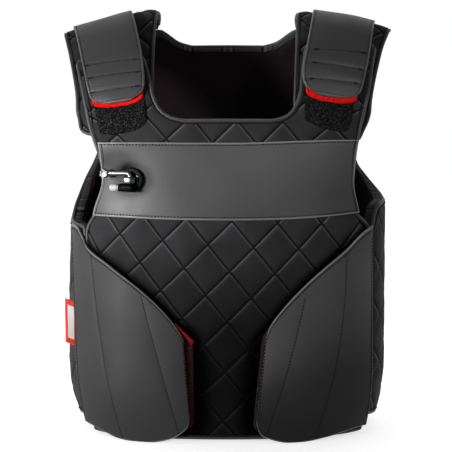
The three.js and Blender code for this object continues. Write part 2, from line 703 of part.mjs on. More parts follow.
function valvePipe() {
  const { radius, z, bend, left } = VALVE_PIPE;
  const { x, top } = VALVE_COLLAR;
  const path = new THREE.CurvePath();
  const corner = new THREE.Vector3(x, -VALVE.axisOut, z);
  const foot = corner.clone().setZ(top + SEAM_GAP);
  const beforeBend = corner.clone().setZ(z - bend + SEAM_GAP);
  const afterBend = corner.clone().setX(x - bend);
  path.add(new THREE.LineCurve3(foot, beforeBend));
  path.add(new THREE.QuadraticBezierCurve3(beforeBend, corner, afterBend));
  path.add(new THREE.LineCurve3(afterBend, corner.clone().setX(left)));
  const section = new THREE.Shape().absarc(0, 0, radius, 0, 2 * Math.PI);
  return new THREE.ExtrudeGeometry(section, { extrudePath: path, steps: 14, curveSegments: PIPE_SEGMENTS });
}

function valveNut() {
  const { acrossFlats, left, right, chamfer } = VALVE_NUT;
  const radius = hexRadius(acrossFlats);
  const profile = [
    { along: left, radius: 0 },
    { along: left, radius: radius - chamfer },
    { along: left + chamfer, radius },
    { along: right - chamfer, radius },
    { along: right, radius: radius - chamfer },
    { along: right, radius: 0 },
  ];
  return turnedAlongX(profile, 6).translate(0, -VALVE.axisOut, VALVE_PIPE.z);
}

function valveButton() {
  const { radius, left, flange, flangeRadius, right, rounding } = VALVE_BUTTON;
  const profile = [
    { along: left, radius: 0 },
    { along: left, radius: radius - rounding },
    { along: left + rounding, radius },
    { along: flange, radius },
    { along: flange, radius: flangeRadius },
    { along: right, radius: flangeRadius },
    { along: right, radius: 0 },
  ];
  return turnedAlongX(profile, ROUND_SIDES).translate(0, -VALVE.axisOut, VALVE_BODY.z);
}

const collarRadius = hexRadius(VALVE_COLLAR.acrossFlats);
const collarHeight = VALVE_COLLAR.top - VALVE_COLLAR.bottom;
const collar = new THREE.CylinderGeometry(collarRadius, collarRadius, collarHeight, 6);
collar.rotateX(Math.PI / 2).rotateZ(Math.PI / 6);
collar.translate(VALVE_COLLAR.x, -VALVE.axisOut, (VALVE_COLLAR.top + VALVE_COLLAR.bottom) / 2);
addPiece("valve_base", valveHousing(), blackPlastic, valve);
addPiece("valve_collar", collar, chrome, valve);
addPiece("valve_pipe", valvePipe(), chrome, valve);
addPiece("valve_nut", valveNut(), chrome, valve);
addPiece("valve_button", valveButton(), palePlastic, valve);

export default vest;
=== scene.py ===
import bisect
import itertools
import math

import bmesh
import bpy
from mathutils import Matrix, Vector, kdtree, noise


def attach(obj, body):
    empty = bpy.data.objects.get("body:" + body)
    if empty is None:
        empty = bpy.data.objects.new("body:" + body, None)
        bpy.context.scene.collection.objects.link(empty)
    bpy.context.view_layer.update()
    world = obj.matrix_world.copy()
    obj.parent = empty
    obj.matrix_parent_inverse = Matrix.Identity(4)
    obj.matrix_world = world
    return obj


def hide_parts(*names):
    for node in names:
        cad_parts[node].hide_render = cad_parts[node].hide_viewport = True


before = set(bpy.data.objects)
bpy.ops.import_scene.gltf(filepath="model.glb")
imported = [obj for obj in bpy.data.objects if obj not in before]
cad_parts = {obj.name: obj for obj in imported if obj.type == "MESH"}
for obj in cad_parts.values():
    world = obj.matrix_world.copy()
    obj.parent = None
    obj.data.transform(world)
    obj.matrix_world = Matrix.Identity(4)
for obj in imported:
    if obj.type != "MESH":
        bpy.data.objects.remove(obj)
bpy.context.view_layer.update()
scene = bpy.context.scene


# Camera: straight in front of the standing vest, at chest height and tilted a little down,
# with a long lens that keeps the sides nearly parallel.
camera = bpy.data.objects.new("camera", bpy.data.cameras.new("camera"))
camera.location = (-0.0025, -1.6865, 0.382)
camera.rotation_euler = (math.radians(90 - 3.85), 0, 0)
camera.data.lens = 99.4
camera.data.sensor_width = 36
scene.collection.objects.link(camera)
scene.camera = camera


# Front panel: one quilted pad of stretch cloth over foam, with a square neck scoop between two
# shoulder tabs. Its cover is sewn through in diamonds, and a rolled tape binds its edge.
# It is cut flat and laid on the body form; distances are in millimetres until it is in place.
HALF_WIDTH = 212
HALF_DEPTH = 131
WAIST_POWER = 2.5
WAIST_STEPS = 1000
TUCK_HEIGHT = 90
TUCK_WIDTH = 15
TUCK_DEPTH = 7.5
CHEST_LEVEL = 300
CHEST_SPREAD = 126
SPREAD_END = 500
SHOULDER_LEVEL = 555
SHOULDER_POWER = 2.2
SLOPE_START = 100
SLOPE_SOFTNESS = 30
SLOPE = 0.125
IN_PLACE = Matrix.Scale(0.001, 4) @ Matrix.Translation((0, 4.5, 5))


def eased(value, start, end):
    share = min(1, max(0, (value - start) / (end - start)))
    return share * share * (3 - 2 * share)


def mixed(start, end, share):
    return start + (end - start) * share


def hem_tuck(level):
    return max(0, 1 - level / TUCK_HEIGHT) ** 2


def half_width(level):
    spread = CHEST_SPREAD * eased(level, CHEST_LEVEL, SPREAD_END)
    return HALF_WIDTH - TUCK_WIDTH * hem_tuck(level) + spread


def half_depth(level):
    rise = max(0, level - CHEST_LEVEL) / (SHOULDER_LEVEL - CHEST_LEVEL)
    narrowing = max(0, 1 - rise**SHOULDER_POWER) ** (1 / SHOULDER_POWER)
    return (HALF_DEPTH - TUCK_DEPTH * hem_tuck(level)) * narrowing


def form_point(x, level, depth):
    share = min(1, abs(x) / half_width(level))
    past = abs(x) - SLOPE_START
    drop = SLOPE * (past + math.hypot(past, SLOPE_SOFTNESS)) * eased(level, 360, 480)
    return Vector((x, depth * (1 - share**WAIST_POWER) ** (1 / WAIST_POWER), level - drop))


def waist_corner(turn):
    across = HALF_WIDTH * math.sin(turn) ** (2 / WAIST_POWER)
    return Vector((across, HALF_DEPTH * max(0, math.cos(turn)) ** (2 / WAIST_POWER)))


def run_along(points):
    return [0, *itertools.accumulate((end - start).length for start, end in zip(points, points[1:]))]


waist = [waist_corner(step * math.pi / (2 * WAIST_STEPS)) for step in range(WAIST_STEPS + 1)]
waist_run = run_along(waist)
QUARTER = waist_run[-1]


def around_point(around, level):
    turned = (around + 2 * QUARTER) % (4 * QUARTER) - 2 * QUARTER
    at_back = abs(turned) > QUARTER
    along = 2 * QUARTER - abs(turned) if at_back else abs(turned)
    step = min(WAIST_STEPS - 1, max(0, bisect.bisect(waist_run, along) - 1))
    share = (along - waist_run[step]) / (waist_run[step + 1] - waist_run[step])
    x = mixed(waist[step].x, waist[step + 1].x, share)
    x += (half_width(level) - HALF_WIDTH) * (x / HALF_WIDTH) ** 4
    return form_point(math.copysign(x, turned), level, half_depth(level) * (1 if at_back else -1))


def lifted(surface, u, v, lift):
    along_u = surface(u + 0.4, v) - surface(u - 0.4, v)
    along_v = surface(u, v + 0.4) - surface(u, v - 0.4)
    return surface(u, v) + along_u.cross(along_v).normalized() * lift


def curve_at(knots, share):
    place = min(len(knots) - 2, int(share * (len(knots) - 1)))
    part = share * (len(knots) - 1) - place
    before, start, end, after = (
        Vector(knots[min(len(knots) - 1, max(0, place + step))]) for step in (-1, 0, 1, 2)
    )
    bend = (end - before) * 0.5 * part * (1 - part) ** 2 - (after - start) * 0.5 * part**2 * (1 - part)
    return start.lerp(end, part * part * (3 - 2 * part)) + bend


def smooth_curve(knots, steps):
    count = steps * (len(knots) - 1)
    return [curve_at(knots, step / count) for step in range(count + 1)]


def even_run(points, step, closed=True):
    ends = [*points, points[0]] if closed else points
    run = run_along(ends)
    count = max(2, round(run[-1] / step))
    spaced = []
    for place in range(count if closed else count + 1):
        along = run[-1] * place / count
        index = min(len(ends) - 2, bisect.bisect(run, along) - 1)
        length = run[index + 1] - run[index]
        spaced.append(ends[index].lerp(ends[index + 1], (along - run[index]) / length if length else 0))
    return spaced


def set_in(outline, margin):
    moved = []
    for place, point in enumerate(outline):
        along = outline[(place + 1) % len(outline)] - outline[place - 1]
        moved.append(point + Vector((-along.y, along.x)).normalized() * margin)
    return moved


def is_inside(outline, point):
    crossings = 0
    for start, end in zip(outline, outline[1:] + outline[:1]):
        if (start.y > point.y) != (end.y > point.y):
            crossings += point.x < mixed(start.x, end.x, (point.y - start.y) / (end.y - start.y))
    return crossings % 2 == 1


# Each finish is one shader, with its colour, roughness and bumps from patterns on the piece itself
def new_finish(name, colour, sockets):
    finish = bpy.data.materials.new(name)
    finish.use_nodes = True
    shader = finish.node_tree.nodes["Principled BSDF"]
    shader.inputs["Base Color"].default_value = (*colour, 1)
    for socket, value in sockets.items():
        shader.inputs[socket].default_value = value
    return finish


def pattern(finish, kind, scale):
    tree = finish.node_tree
    place = tree.nodes.new("ShaderNodeTexCoord")
    texture = tree.nodes.new(kind)
    texture.inputs["Scale"].default_value = scale
    tree.links.new(place.outputs["Object"], texture.inputs["Vector"])
    return texture


def clouds(finish, scale, detail=2):
    texture = pattern(finish, "ShaderNodeTexNoise", scale)
    texture.inputs["Detail"].default_value = detail
    return texture.outputs["Fac"]


def cells(finish, scale):
    return pattern(finish, "ShaderNodeTexVoronoi", scale).outputs["Distance"]


def tint(finish, source, dark, light, start=0.3, end=0.7):
    tree = finish.node_tree
    ramp = tree.nodes.new("ShaderNodeValToRGB")
    ramp.color_ramp.elements[0].position = start
    ramp.color_ramp.elements[0].color = (*dark, 1)
    ramp.color_ramp.elements[1].position = end
    ramp.color_ramp.elements[1].color = (*light, 1)
    tree.links.new(source, ramp.inputs["Fac"])
    tree.links.new(ramp.outputs["Color"], tree.nodes["Principled BSDF"].inputs["Base Color"])


def vary_roughness(finish, source, low, high):
    tree = finish.node_tree
    spread = tree.nodes.new("ShaderNodeMapRange")
    spread.inputs["To Min"].default_value = low
    spread.inputs["To Max"].default_value = high
    tree.links.new(source, spread.inputs["Value"])
    tree.links.new(spread.outputs["Result"], tree.nodes["Principled BSDF"].inputs["Roughness"])


def emboss(finish, source, strength, depth):
    tree = finish.node_tree
    bump = tree.nodes.new("ShaderNodeBump")
    bump.inputs["Strength"].default_value = strength
    bump.inputs["Distance"].default_value = depth
    tree.links.new(source, bump.inputs["Height"])
    normal = tree.nodes["Principled BSDF"].inputs["Normal"]
    if normal.links:
        tree.links.new(normal.links[0].from_socket, bump.inputs["Normal"])
    tree.links.new(bump.outputs["Normal"], normal)


def paint_light_and_shade(finish, amount):
    """Scales colour and gleam: painted shade in creases and shaded places, painted highlight on edges."""
    tree = finish.node_tree
    shader = tree.nodes["Principled BSDF"]
    painted_light = tree.nodes.new("ShaderNodeAttribute")
    painted_light.attribute_name = "painted_light"
    factor = tree.nodes.new("ShaderNodeMath")
    factor.operation = "MULTIPLY_ADD"
    factor.inputs[1].default_value = amount
    factor.inputs[2].default_value = 1
    shaded = tree.nodes.new("ShaderNodeVectorMath")
    shaded.operation = "SCALE"
    colour = shader.inputs["Base Color"]
    tree.links.new(painted_light.outputs["Fac"], factor.inputs[0])
    tree.links.new(factor.outputs["Value"], shaded.inputs["Scale"])
    tree.links.new(colour.links[0].from_socket, shaded.inputs[0])
    tree.links.new(shaded.outputs["Vector"], colour)
    for level in (shader.inputs["Specular IOR Level"], shader.inputs["Sheen Weight"]):
        gleam = tree.nodes.new("ShaderNodeMath")
        gleam.operation = "MULTIPLY"
        gleam.inputs[1].default_value = level.default_value
        tree.links.new(factor.outputs["Value"], gleam.inputs[0])
        tree.links.new(gleam.outputs["Value"], level)


def of_kind(parts, kind):
    return [part for part in parts if isinstance(part, kind)]


def add_inner_face(bm, finish_number=0):
    """Doubles a sheet and closes it round its edge; gives the vertices of the new inner face."""
    geometry = bm.verts[:] + bm.edges[:] + bm.faces[:]
    inner = bmesh.ops.extrude_face_region(bm, geom=geometry, use_keep_orig=True)["geom"]
    for face in of_kind(inner, bmesh.types.BMFace):
        face.material_index = finish_number
    return of_kind(inner, bmesh.types.BMVert)


def add_piece(name, bm, finishes):
    bmesh.ops.recalc_face_normals(bm, faces=bm.faces)
    mesh = bpy.data.meshes.new(name)
    bm.to_mesh(mesh)
    bm.free()
    for finish in finishes:
        mesh.materials.append(finish)
    mesh.shade_smooth()
    piece = bpy.data.objects.new(name, mesh)
    scene.collection.objects.link(piece)
    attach(piece, "root")
    return piece


def add_tube(name, runs, width, finish, closed=False, sides=2):
    curve = bpy.data.curves.new(name, "CURVE")
    curve.dimensions = "3D"
    curve.bevel_depth = width / 2000
    curve.bevel_resolution = sides
    curve.use_fill_caps = True
    for run in runs:
        spline = curve.splines.new("POLY")
        spline.points.add(len(run) - 1)
        spline.use_cyclic_u = closed
        for knot, point in zip(spline.points, run):
            knot.co = (*(IN_PLACE @ point), 1)
    drawn = bpy.data.objects.new(name, curve)
    bm = bmesh.new()
    bm.from_mesh(drawn.to_mesh())
    drawn.to_mesh_clear()
    bpy.data.objects.remove(drawn)
    return add_piece(name, bm, [finish])


stretch_cloth = new_finish(
    "stretch_cloth",
    (0.018, 0.018, 0.02),
    {"Roughness": 0.85, "Specular IOR Level": 0.15, "Sheen Weight": 0.04, "Sheen Roughness": 0.5},
)
tint(stretch_cloth, clouds(stretch_cloth, 30), (0.009, 0.009, 0.0095), (0.015, 0.015, 0.016))
emboss(stretch_cloth, cells(stretch_cloth, 900), 0.35, 0.0004)
paint_light_and_shade(stretch_cloth, 0.97)
smooth_lining = new_finish(
    "smooth_lining",
    (0.012, 0.006, 0.009),
    {"Roughness": 0.8, "Specular IOR Level": 0.1, "Sheen Weight": 0.01, "Sheen Roughness": 0.4},
)
tint(smooth_lining, clouds(smooth_lining, 14), (0.0012, 0.0005, 0.0007), (0.007, 0.0026, 0.0034))
emboss(smooth_lining, cells(smooth_lining, 1400), 0.25, 0.0003)
binding_tape = new_finish(
    "binding_tape",
    (0.02, 0.02, 0.022),
    {"Roughness": 0.6, "Specular IOR Level": 0.5, "Sheen Weight": 0.1, "Sheen Roughness": 0.4},
)
tape_rib = clouds(binding_tape, 700)
tint(binding_tape, tape_rib, (0.01, 0.01, 0.011), (0.02, 0.02, 0.021))
emboss(binding_tape, tape_rib, 0.3, 0.0004)
black_thread = new_finish(
    "black_thread", (0.003, 0.003, 0.003), {"Roughness": 0.7, "Specular IOR Level": 0.1}
)
tint(black_thread, clouds(black_thread, 2500), (0.001, 0.001, 0.001), (0.008, 0.008, 0.008))

LOW_ARMHOLES = {
    "left": [(198, 263), (191, 275), (183, 283.5), (173.8, 296.5), (165, 316), (162, 340)],
    "right": [(198, 266), (192, 273), (183, 280), (173, 286.5), (168.5, 296), (164.5, 330)],
}
TAB_EDGES = {
    "left": [(163.5, 379), (163, 404.7), (160.5, 434), (160, 465.6), (161.5, 487.4), (163.5, 503)],
    "right": [(158.9, 379.2), (156.1, 433.2), (157.1, 487.4), (161.4, 522.2)],
}
TAB_TOPS = {"left": [(160.8, 508.5), (105, 495)], "right": [(158.1, 529), (97.9, 511)]}
FRONT_NECKS = {
    "left": [(100, 489), (94, 461.6), (90, 438), (83.5, 421), (72.2, 411), (55.7, 406.4)],
    "right": [(92.8, 500), (89.6, 470.9), (87.4, 446.2), (82.3, 425.3), (72.2, 411.7), (55.7, 406.4)],
}
FRONT_HEM = -2
FRONT_SIDE = 198
FRONT_THICKNESS = 20
TAB_THICKNESS = 13
BAND_BOTTOM = 279
BAND_TOP = 376
FLAP_EDGES = {
    "left": [
        (-199, 255), (-186, 239), (-150, 219.5), (-110, 191.5), (-82, 166), (-64, 144), (-45, 126), (-43, 20),
    ],
    "right": [
        (197, 269), (153, 241), (124, 220), (97, 197), (70, 169), (49, 140), (41, 120), (32, 20),
    ],
}
QUILT_DIP = 2.7
QUILT_SOFTNESS = 2.6
PRESSED_DIP = 1.2
# Painted highlight just below each quilting seam, and painted shade in its groove
SEAM_LIGHT = 2.6
SEAM_LIGHT_GAP = 2.2
SEAM_LIGHT_WIDTH = 0.7
GROOVE_SHADE_WIDTH = 1.05
SWELL_LIMIT = 0.0012
SWELL_PRESSURE = 4
SWELL_STEPS = 15
OUTLINE_STEP = 4
COVER_MARGIN = 1.5
STITCH_MARGIN = 7
QUILT_CUTS = (-17, -11.5, -6.5, -3.2, -2.2, -1.1, 0, 1.1, 2.6, 6.5, 11.5, 17)
RIM_ROUNDING = 8
RIM_DROP = 5
STITCH_PITCH = 4.2
STITCH_LENGTH = 3.0
QUILT_THREAD = 0.8
PANEL_BINDING = 5
PANEL_BINDING_SINK = 2.9
BINDING_SEAM = 1.9
BINDING_SEAM_SINK = 0.7


def both_sides(half, other_half):
    return [*half, *(Vector((-point.x, point.y)) for point in reversed(other_half))]


# The diamonds are not quite upright, and the rows sag a little toward the middle of the front
QUILT_START = Vector((-85.5, 191.5))
QUILT_DOWN = Vector((27.3, -33.8))
QUILT_UP = Vector((30.2, 30.0))
QUILT_SAG = 3.3


def front_sag(u):
    return QUILT_SAG * (1 - (u / 110) ** 2)


def seam_rules(start, down, up):
    rules = []
    for along, step in ((down, up), (up, down)):
        normal = Vector((-along.y, along.x)).normalized()
        rules.append((normal, normal.dot(start), abs(normal.dot(step)), along.normalized()))
    return rules


def from_seam(rules, point):
    """Distance from the nearest seam, below zero on the lower side of it."""
    gaps = []
    for normal, first, spacing, _ in rules:
        gaps.append((normal.dot(point) - first + spacing / 2) % spacing - spacing / 2)
    return min(gaps, key=abs)


def seam_numbers(rule, outline):
    normal, first, spacing, _ = rule
    reach = [(normal.dot(point) - first) / spacing for point in outline]
    return range(math.floor(min(reach)), math.ceil(max(reach)) + 1)


def ruled_cloth(outline, rules, cuts):
    bm = bmesh.new()
    bm.faces.new([bm.verts.new((point.x, point.y, 0)) for point in outline])
    for rule in rules:
        normal, first, spacing, _ = rule
        for number in seam_numbers(rule, outline):
            for cut in cuts:
                place = normal * (first + number * spacing + cut)
                whole = bm.verts[:] + bm.edges[:] + bm.faces[:]
                bmesh.ops.bisect_plane(
                    bm, geom=whole, dist=0.05, plane_co=place.to_3d(), plane_no=normal.to_3d()
                )
    bmesh.ops.remove_doubles(bm, verts=bm.verts, dist=0.3)
    return bm


def edge_finder(outline):
    finder = kdtree.KDTree(len(outline))
    for place, point in enumerate(outline):
        finder.insert(point.to_3d(), place)
    finder.balance()
    return finder


def rim_fall(gap):
    share = 1 - min(1, gap / RIM_ROUNDING)
    return RIM_DROP * (1 - math.sqrt(1 - share * share))


def swell(bm, held):
    """Lets air pressure round the cover between its seams, which stay where they are sewn."""
    mesh = bpy.data.meshes.new("cover")
    bm.to_mesh(mesh)
    cover = bpy.data.objects.new("cover", mesh)
    scene.collection.objects.link(cover)
    cover.vertex_groups.new(name="sewn").add(held, 1.0, "REPLACE")
    settings = cover.modifiers.new("cloth", "CLOTH").settings
    settings.vertex_group_mass = "sewn"
    settings.use_pressure = True
    settings.uniform_pressure_force = SWELL_PRESSURE
    settings.effector_weights.gravity = 0
    settings.tension_stiffness = 20
    settings.compression_stiffness = 20
    for step in range(1, SWELL_STEPS + 1):
        scene.frame_set(step)
    swollen = cover.evaluated_get(bpy.context.evaluated_depsgraph_get()).data
    for vert, moved in zip(bm.verts, swollen.vertices):
        shift = moved.co - vert.co
        vert.co += shift * min(1, SWELL_LIMIT / max(shift.length, 1e-9))
    scene.frame_set(1)
    bpy.data.objects.remove(cover)


def no_sag(u):
    return 0


def nowhere(u, v):
    return 0


def quilted_pad(
    name, surface, outline, rules, thickness,
    sag=no_sag, flat=nowhere, shade=nowhere, inner=smooth_lining, cuts=QUILT_CUTS,
):
    """A closed pad: quilted cover outside, a plain cloth inside, and a rounded rim between them."""
    sagged = [Vector((point.x, point.y + sag(point.x))) for point in set_in(outline, COVER_MARGIN)]
    bm = ruled_cloth(sagged, rules, cuts)
    place = bm.verts.layers.float_vector.new("place")
    painted_light = bm.verts.layers.float.new("painted_light")
    finder = edge_finder(outline)
    held = []
    bm.verts.index_update()
    for vert in bm.verts:
        seam = from_seam(rules, vert.co.to_2d())
        u, v = vert.co.x, vert.co.y - sag(vert.co.x)
        gap = finder.find((u, v, 0))[2]
        vert[place] = (u, v, gap)
        pressed = flat(u, v)
        dip = mixed(QUILT_DIP * math.exp(-abs(seam) / QUILT_SOFTNESS), PRESSED_DIP, pressed)
        # Painted light: a painted highlight below each seam, painted shade in its groove, and the painted
        # shade from shade()
        edge_light = SEAM_LIGHT * math.exp(-(((seam + SEAM_LIGHT_GAP) / SEAM_LIGHT_WIDTH) ** 2))
        groove_shade = math.exp(-((seam / GROOVE_SHADE_WIDTH) ** 2))
        vert[painted_light] = (1 + edge_light - groove_shade) * (1 - shade(u, v)) - 1
        vert.co = IN_PLACE @ lifted(surface, u, v, -dip - rim_fall(gap))
        if abs(seam) < 1.0 or gap < 5 or pressed > 0.5:
            held.append(vert.index)
    swell(bm, held)
    for vert in add_inner_face(bm, 1):
        u, v, gap = vert[place]
        vert.co = IN_PLACE @ lifted(surface, u, v, rim_fall(gap) - thickness(v))
    piece = add_piece(name, bm, [stretch_cloth, inner])
    return piece


def quilt_stitches(name, surface, outline, rules, sag=no_sag, skip=nowhere):
    runs = []
    for rule in rules:
        normal, first, spacing, along = rule
        reach = [along.dot(point) for point in outline]
        for number in seam_numbers(rule, outline):
            base = normal * (first + number * spacing)
            for step in range(int((max(reach) - min(reach)) / STITCH_PITCH)):
                middle = base + along * (min(reach) + step * STITCH_PITCH)
                spot = Vector((middle.x, middle.y - sag(middle.x)))
                if not is_inside(outline, spot) or skip(*spot):
                    continue
                ends = [spot - along * STITCH_LENGTH / 2, spot, spot + along * STITCH_LENGTH / 2]
                lifts = (-QUILT_DIP - 0.1, 0.35 - QUILT_DIP, -QUILT_DIP - 0.1)
                runs.append([lifted(surface, *end, lift) for end, lift in zip(ends, lifts)])
    return add_tube(name, runs, QUILT_THREAD, black_thread, sides=0)


def bind_edge(name, surface, outline, width, sink):
    edge = even_run(set_in(outline, width * 0.45), OUTLINE_STEP)
    run = [lifted(surface, *point, -sink) for point in edge]
    beside = even_run(set_in(outline, width + BINDING_SEAM_SINK), OUTLINE_STEP)
    seam = [lifted(surface, *point, -BINDING_SEAM_SINK) for point in beside]
    binding_seam = add_tube(f"{name}_seam", [seam], BINDING_SEAM, black_thread, closed=True)
    return add_tube(name, [run], width, binding_tape, closed=True)


def front_thickness(level):
    return mixed(FRONT_THICKNESS, TAB_THICKNESS, eased(level, 380, 440))


def under_band(u, v):
    return eased(v, BAND_BOTTOM, BAND_BOTTOM + 6) * (1 - eased(v, BAND_TOP - 6, BAND_TOP))


def front_half(word):
    half = [Vector((0, FRONT_HEM)), Vector((FRONT_SIDE, FRONT_HEM))]
    half += smooth_curve(LOW_ARMHOLES[word] + TAB_EDGES[word], 8)
    return [*half, *map(Vector, TAB_TOPS[word]), *smooth_curve(FRONT_NECKS[word], 8)]


flap_edge_run = []
for edge in FLAP_EDGES.values():
    flap_edge_run += even_run(smooth_curve(edge, 4), 3, closed=False)
flap_edge_finder = edge_finder(flap_edge_run)


def flap_painted_shade(u, v):
    """Painted shade: the cloth is darkened towards the hem and beside the flaps, most in the low gap between
    them.
    """
    gap = flap_edge_finder.find((u, v, 0))[2]
    upper = eased(v, 90, 160)
    under = 0.98 * (1 - eased(gap, mixed(8, 1, upper), mixed(30, 13, upper)))
    return 1 - (1 - under) * mixed(0.25, 1, eased(v, 100, 300))


front_outline = even_run(both_sides(front_half("right"), front_half("left"))[:-1], OUTLINE_STEP)
front_rules = seam_rules(QUILT_START, QUILT_DOWN, QUILT_UP)
front_panel = quilted_pad(
    "front_panel", around_point, front_outline, front_rules, front_thickness,
    front_sag, under_band, flap_painted_shade,
)
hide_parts("front_panel")
front_stitches = quilt_stitches(
    "front_quilting", around_point, set_in(front_outline, STITCH_MARGIN), front_rules, front_sag,
    lambda u, v: BAND_BOTTOM < v < BAND_TOP,
)
front_binding = bind_edge(
    "front_binding", around_point, front_outline, PANEL_BINDING, PANEL_BINDING_SINK
)


# Back panel: the same quilted padding round the back, with a wing to each side that reaches the
# front panel under the flaps. Armholes and neck are cut out of it, and its edge is bound as well.
BACK_HEM = [(0, -5), (170, -5), (225, -0.5), (283.7, 11), (340, 16), (368.3, 19)]
WING_EDGES = {
    "left": [(368.3, 268.7), (327, 273), (283.7, 280.5), (227.8, 318.5), (184.2, 360)],
    "right": [
        (368.3, 266), (364, 272), (360, 284), (350, 295), (325, 301), (287, 303.5), (240.4, 314.1),
        (202.4, 333.9), (179.8, 358.1),
    ],
}
BACK_SHOULDER = [(157.2, 419.7), (156.5, 473.6), (165.6, 515.9), (172.4, 538)]
BACK_NECK = [(89, 538), (81.5, 532.2), (66.9, 520.5), (49.7, 515)]
BACK_THICKNESS = 18
BACK_CUTS = (-12, -5, -1.6, 0, 1.6, 5, 12)
WING_LOOSENESS = 3.4


def back_base(u, v):
    return around_point(2 * QUARTER + u, v)


def back_point(u, v):
    """The left wing stands out a little between the side seam and the flap."""
    loose = eased(u, 215, 262) * (1 - eased(u, 298, 335)) * eased(v, 12, 50)
    return lifted(back_base, u, v, loose * mixed(WING_LOOSENESS, 0, eased(v, 150, 275)))


def back_half(word):
    armhole = smooth_curve(WING_EDGES[word] + BACK_SHOULDER, 8)
    return [*smooth_curve(BACK_HEM, 6), *armhole, *smooth_curve(BACK_NECK, 6)]


back_outline = even_run(both_sides(back_half("left"), back_half("right"))[:-1], OUTLINE_STEP)
back_rules = seam_rules(Vector((0, 150)), Vector((28.4, -31)), Vector((28.4, 31)))
back_panel = quilted_pad(
    "back_panel", back_point, back_outline, back_rules, lambda level: BACK_THICKNESS, cuts=BACK_CUTS
)
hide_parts("back_panel")
back_stitches = quilt_stitches(
    "back_quilting", back_point, set_in(back_outline, STITCH_MARGIN), back_rules
)
back_binding = bind_edge("back_binding", back_point, back_outline, PANEL_BINDING, PANEL_BINDING_SINK)


# Back lining: a smooth dark cloth cut like the back panel and sewn over its inside, close to the
# bound edge. Away from the seam it lies in a few soft folds.
LINING_MARGIN = 3
LINING_MESH = 10
LINING_GAP = 0.3
LINING_THICKNESS = 0.8


def square_rules(spacing):
    upright, level = Vector((0, 1)), Vector((1, 0))
    return [(level, 0, spacing, upright), (upright, 0, spacing, level)]


lining_outline = set_in(back_outline, LINING_MARGIN)
lining_cloth = ruled_cloth(lining_outline, square_rules(LINING_MESH), (0,))
lining_place = lining_cloth.verts.layers.float_vector.new("place")
lining_finder = edge_finder(lining_outline)
for vert in lining_cloth.verts:
    slack = eased(lining_finder.find(vert.co)[2], 0, 30)
    fold = slack * (1 + noise.noise(Vector((vert.co.x * 0.013, vert.co.y * 0.022, 4))))
    vert[lining_place] = (vert.co.x, vert.co.y, fold)
    vert.co = IN_PLACE @ lifted(back_point, vert.co.x, vert.co.y, -BACK_THICKNESS - LINING_GAP - fold)
for vert in add_inner_face(lining_cloth):
    u, v, fold = vert[lining_place]
    vert.co = IN_PLACE @ lifted(back_point, u, v, -BACK_THICKNESS - LINING_GAP - LINING_THICKNESS - fold)
back_lining = add_piece("back_lining", lining_cloth, [smooth_lining])
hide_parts("back_lining")


# Shoulder pads: foam pads with the same stretch cloth on both faces, quilted and bound like the
# panels. They hang behind the front tabs, go over the shoulders and end on the back panel.
PAD_ROWS = [(16.6, 122, 176), (17.2, 111, 184), (18.6, 103, 188), (21.5, 97, 190), (30, 90, 193)]
PAD_ROWS += [(40, 90.5, 195), (60, 92.5, 207.5), (75, 92, 215), (90, 91, 220), (101, 91, 217)]
PAD_ROWS += [(109.5, 93, 211)]
PAD_THICKNESS = 13
PAD_OUTWARD = {"left": 8, "right": -6}
PAD_RAISE = {"left": 0, "right": -2.5}
PAD_END_SHIFT = {"left": 5, "right": -2}
PAD_GAP = 2.5
PAD_BINDING = 4.5
PAD_BINDING_SINK = 2.6
OUTER_DROOP = 1.5
NECK_DROOP = 4
ARCH_STEP = 2.6


def arch_level(arch):
    share = math.sin(math.radians(arch)) ** (2 / SHOULDER_POWER)
    return CHEST_LEVEL + (SHOULDER_LEVEL - CHEST_LEVEL) * share


def arch_point(x, arch):
    across = math.cos(math.radians(arch))
    depth = -math.copysign(HALF_DEPTH * abs(across) ** (2 / SHOULDER_POWER), across)
    place = form_point(x, arch_level(arch), depth)
    outer = eased(abs(x), 105, 190)
    tilt = mixed(3.5, -0.3, outer) if x < 0 else mixed(1, 5, outer)
    place.z += tilt * eased(math.sin(math.radians(arch)), 0.8, 0.97)
    return place


def pad_face(x, run):
    arch = run / ARCH_STEP
    behind = front_thickness(arch_level(arch)) + PAD_GAP
    droop = OUTER_DROOP * eased(abs(x), 198, 224) + NECK_DROOP * (1 - eased(abs(x), 88, 106))
    sunk = behind * (1 - eased(arch, 62, 86)) + droop * eased(arch, 55, 80)
    return lifted(arch_point, x, arch, -sunk)


for word, side in (("left", -1), ("right", 1)):
    near_edge, far_edge = [], []
    for arch, near, far in smooth_curve(PAD_ROWS, 6):
        shift = PAD_OUTWARD[word] * max(0, math.cos(math.radians(arch)))
        far += PAD_END_SHIFT[word] * (1 - eased(arch, 17.5, 26))
        arch += PAD_RAISE[word] * (1 - eased(arch, 34, 60))
        near_edge.append(Vector((side * (near + shift), arch * ARCH_STEP)))
        far_edge.append(Vector((side * (far + shift), arch * ARCH_STEP)))
    edge = [*near_edge[::-1], *far_edge] if side > 0 else [*far_edge[::-1], *near_edge]
    pad_outline = even_run(edge, OUTLINE_STEP)
    pad_rules = seam_rules(Vector((side * 150, 200)), Vector((27, -31)), Vector((29, 31)))
    pad = quilted_pad(
        f"shoulder_pad_{word}", pad_face, pad_outline, pad_rules, lambda run: PAD_THICKNESS,
        inner=stretch_cloth,
    )
    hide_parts(f"shoulder_pad_{word}")
    pad_stitches = quilt_stitches(
        f"pad_quilting_{word}", pad_face, set_in(pad_outline, STITCH_MARGIN), pad_rules
    )
    pad_binding = bind_edge(f"pad_binding_{word}", pad_face, pad_outline, PAD_BINDING, PAD_BINDING_SINK)


# Chest band: a strip of grained leather-look sheet sewn across the front panel from armhole to
# armhole. Its edges are rolled and stitched down in a shallow channel.
EDGE_ROLL = [(0, -1.1), (0.5, -0.3), (1.1, 0.2), (1.9, 0.3), (2.6, 0), (3.4, -0.2), (4.2, -0.1)]
EDGE_ROLL += [(5.6, 0)]
CHANNEL = 3.4


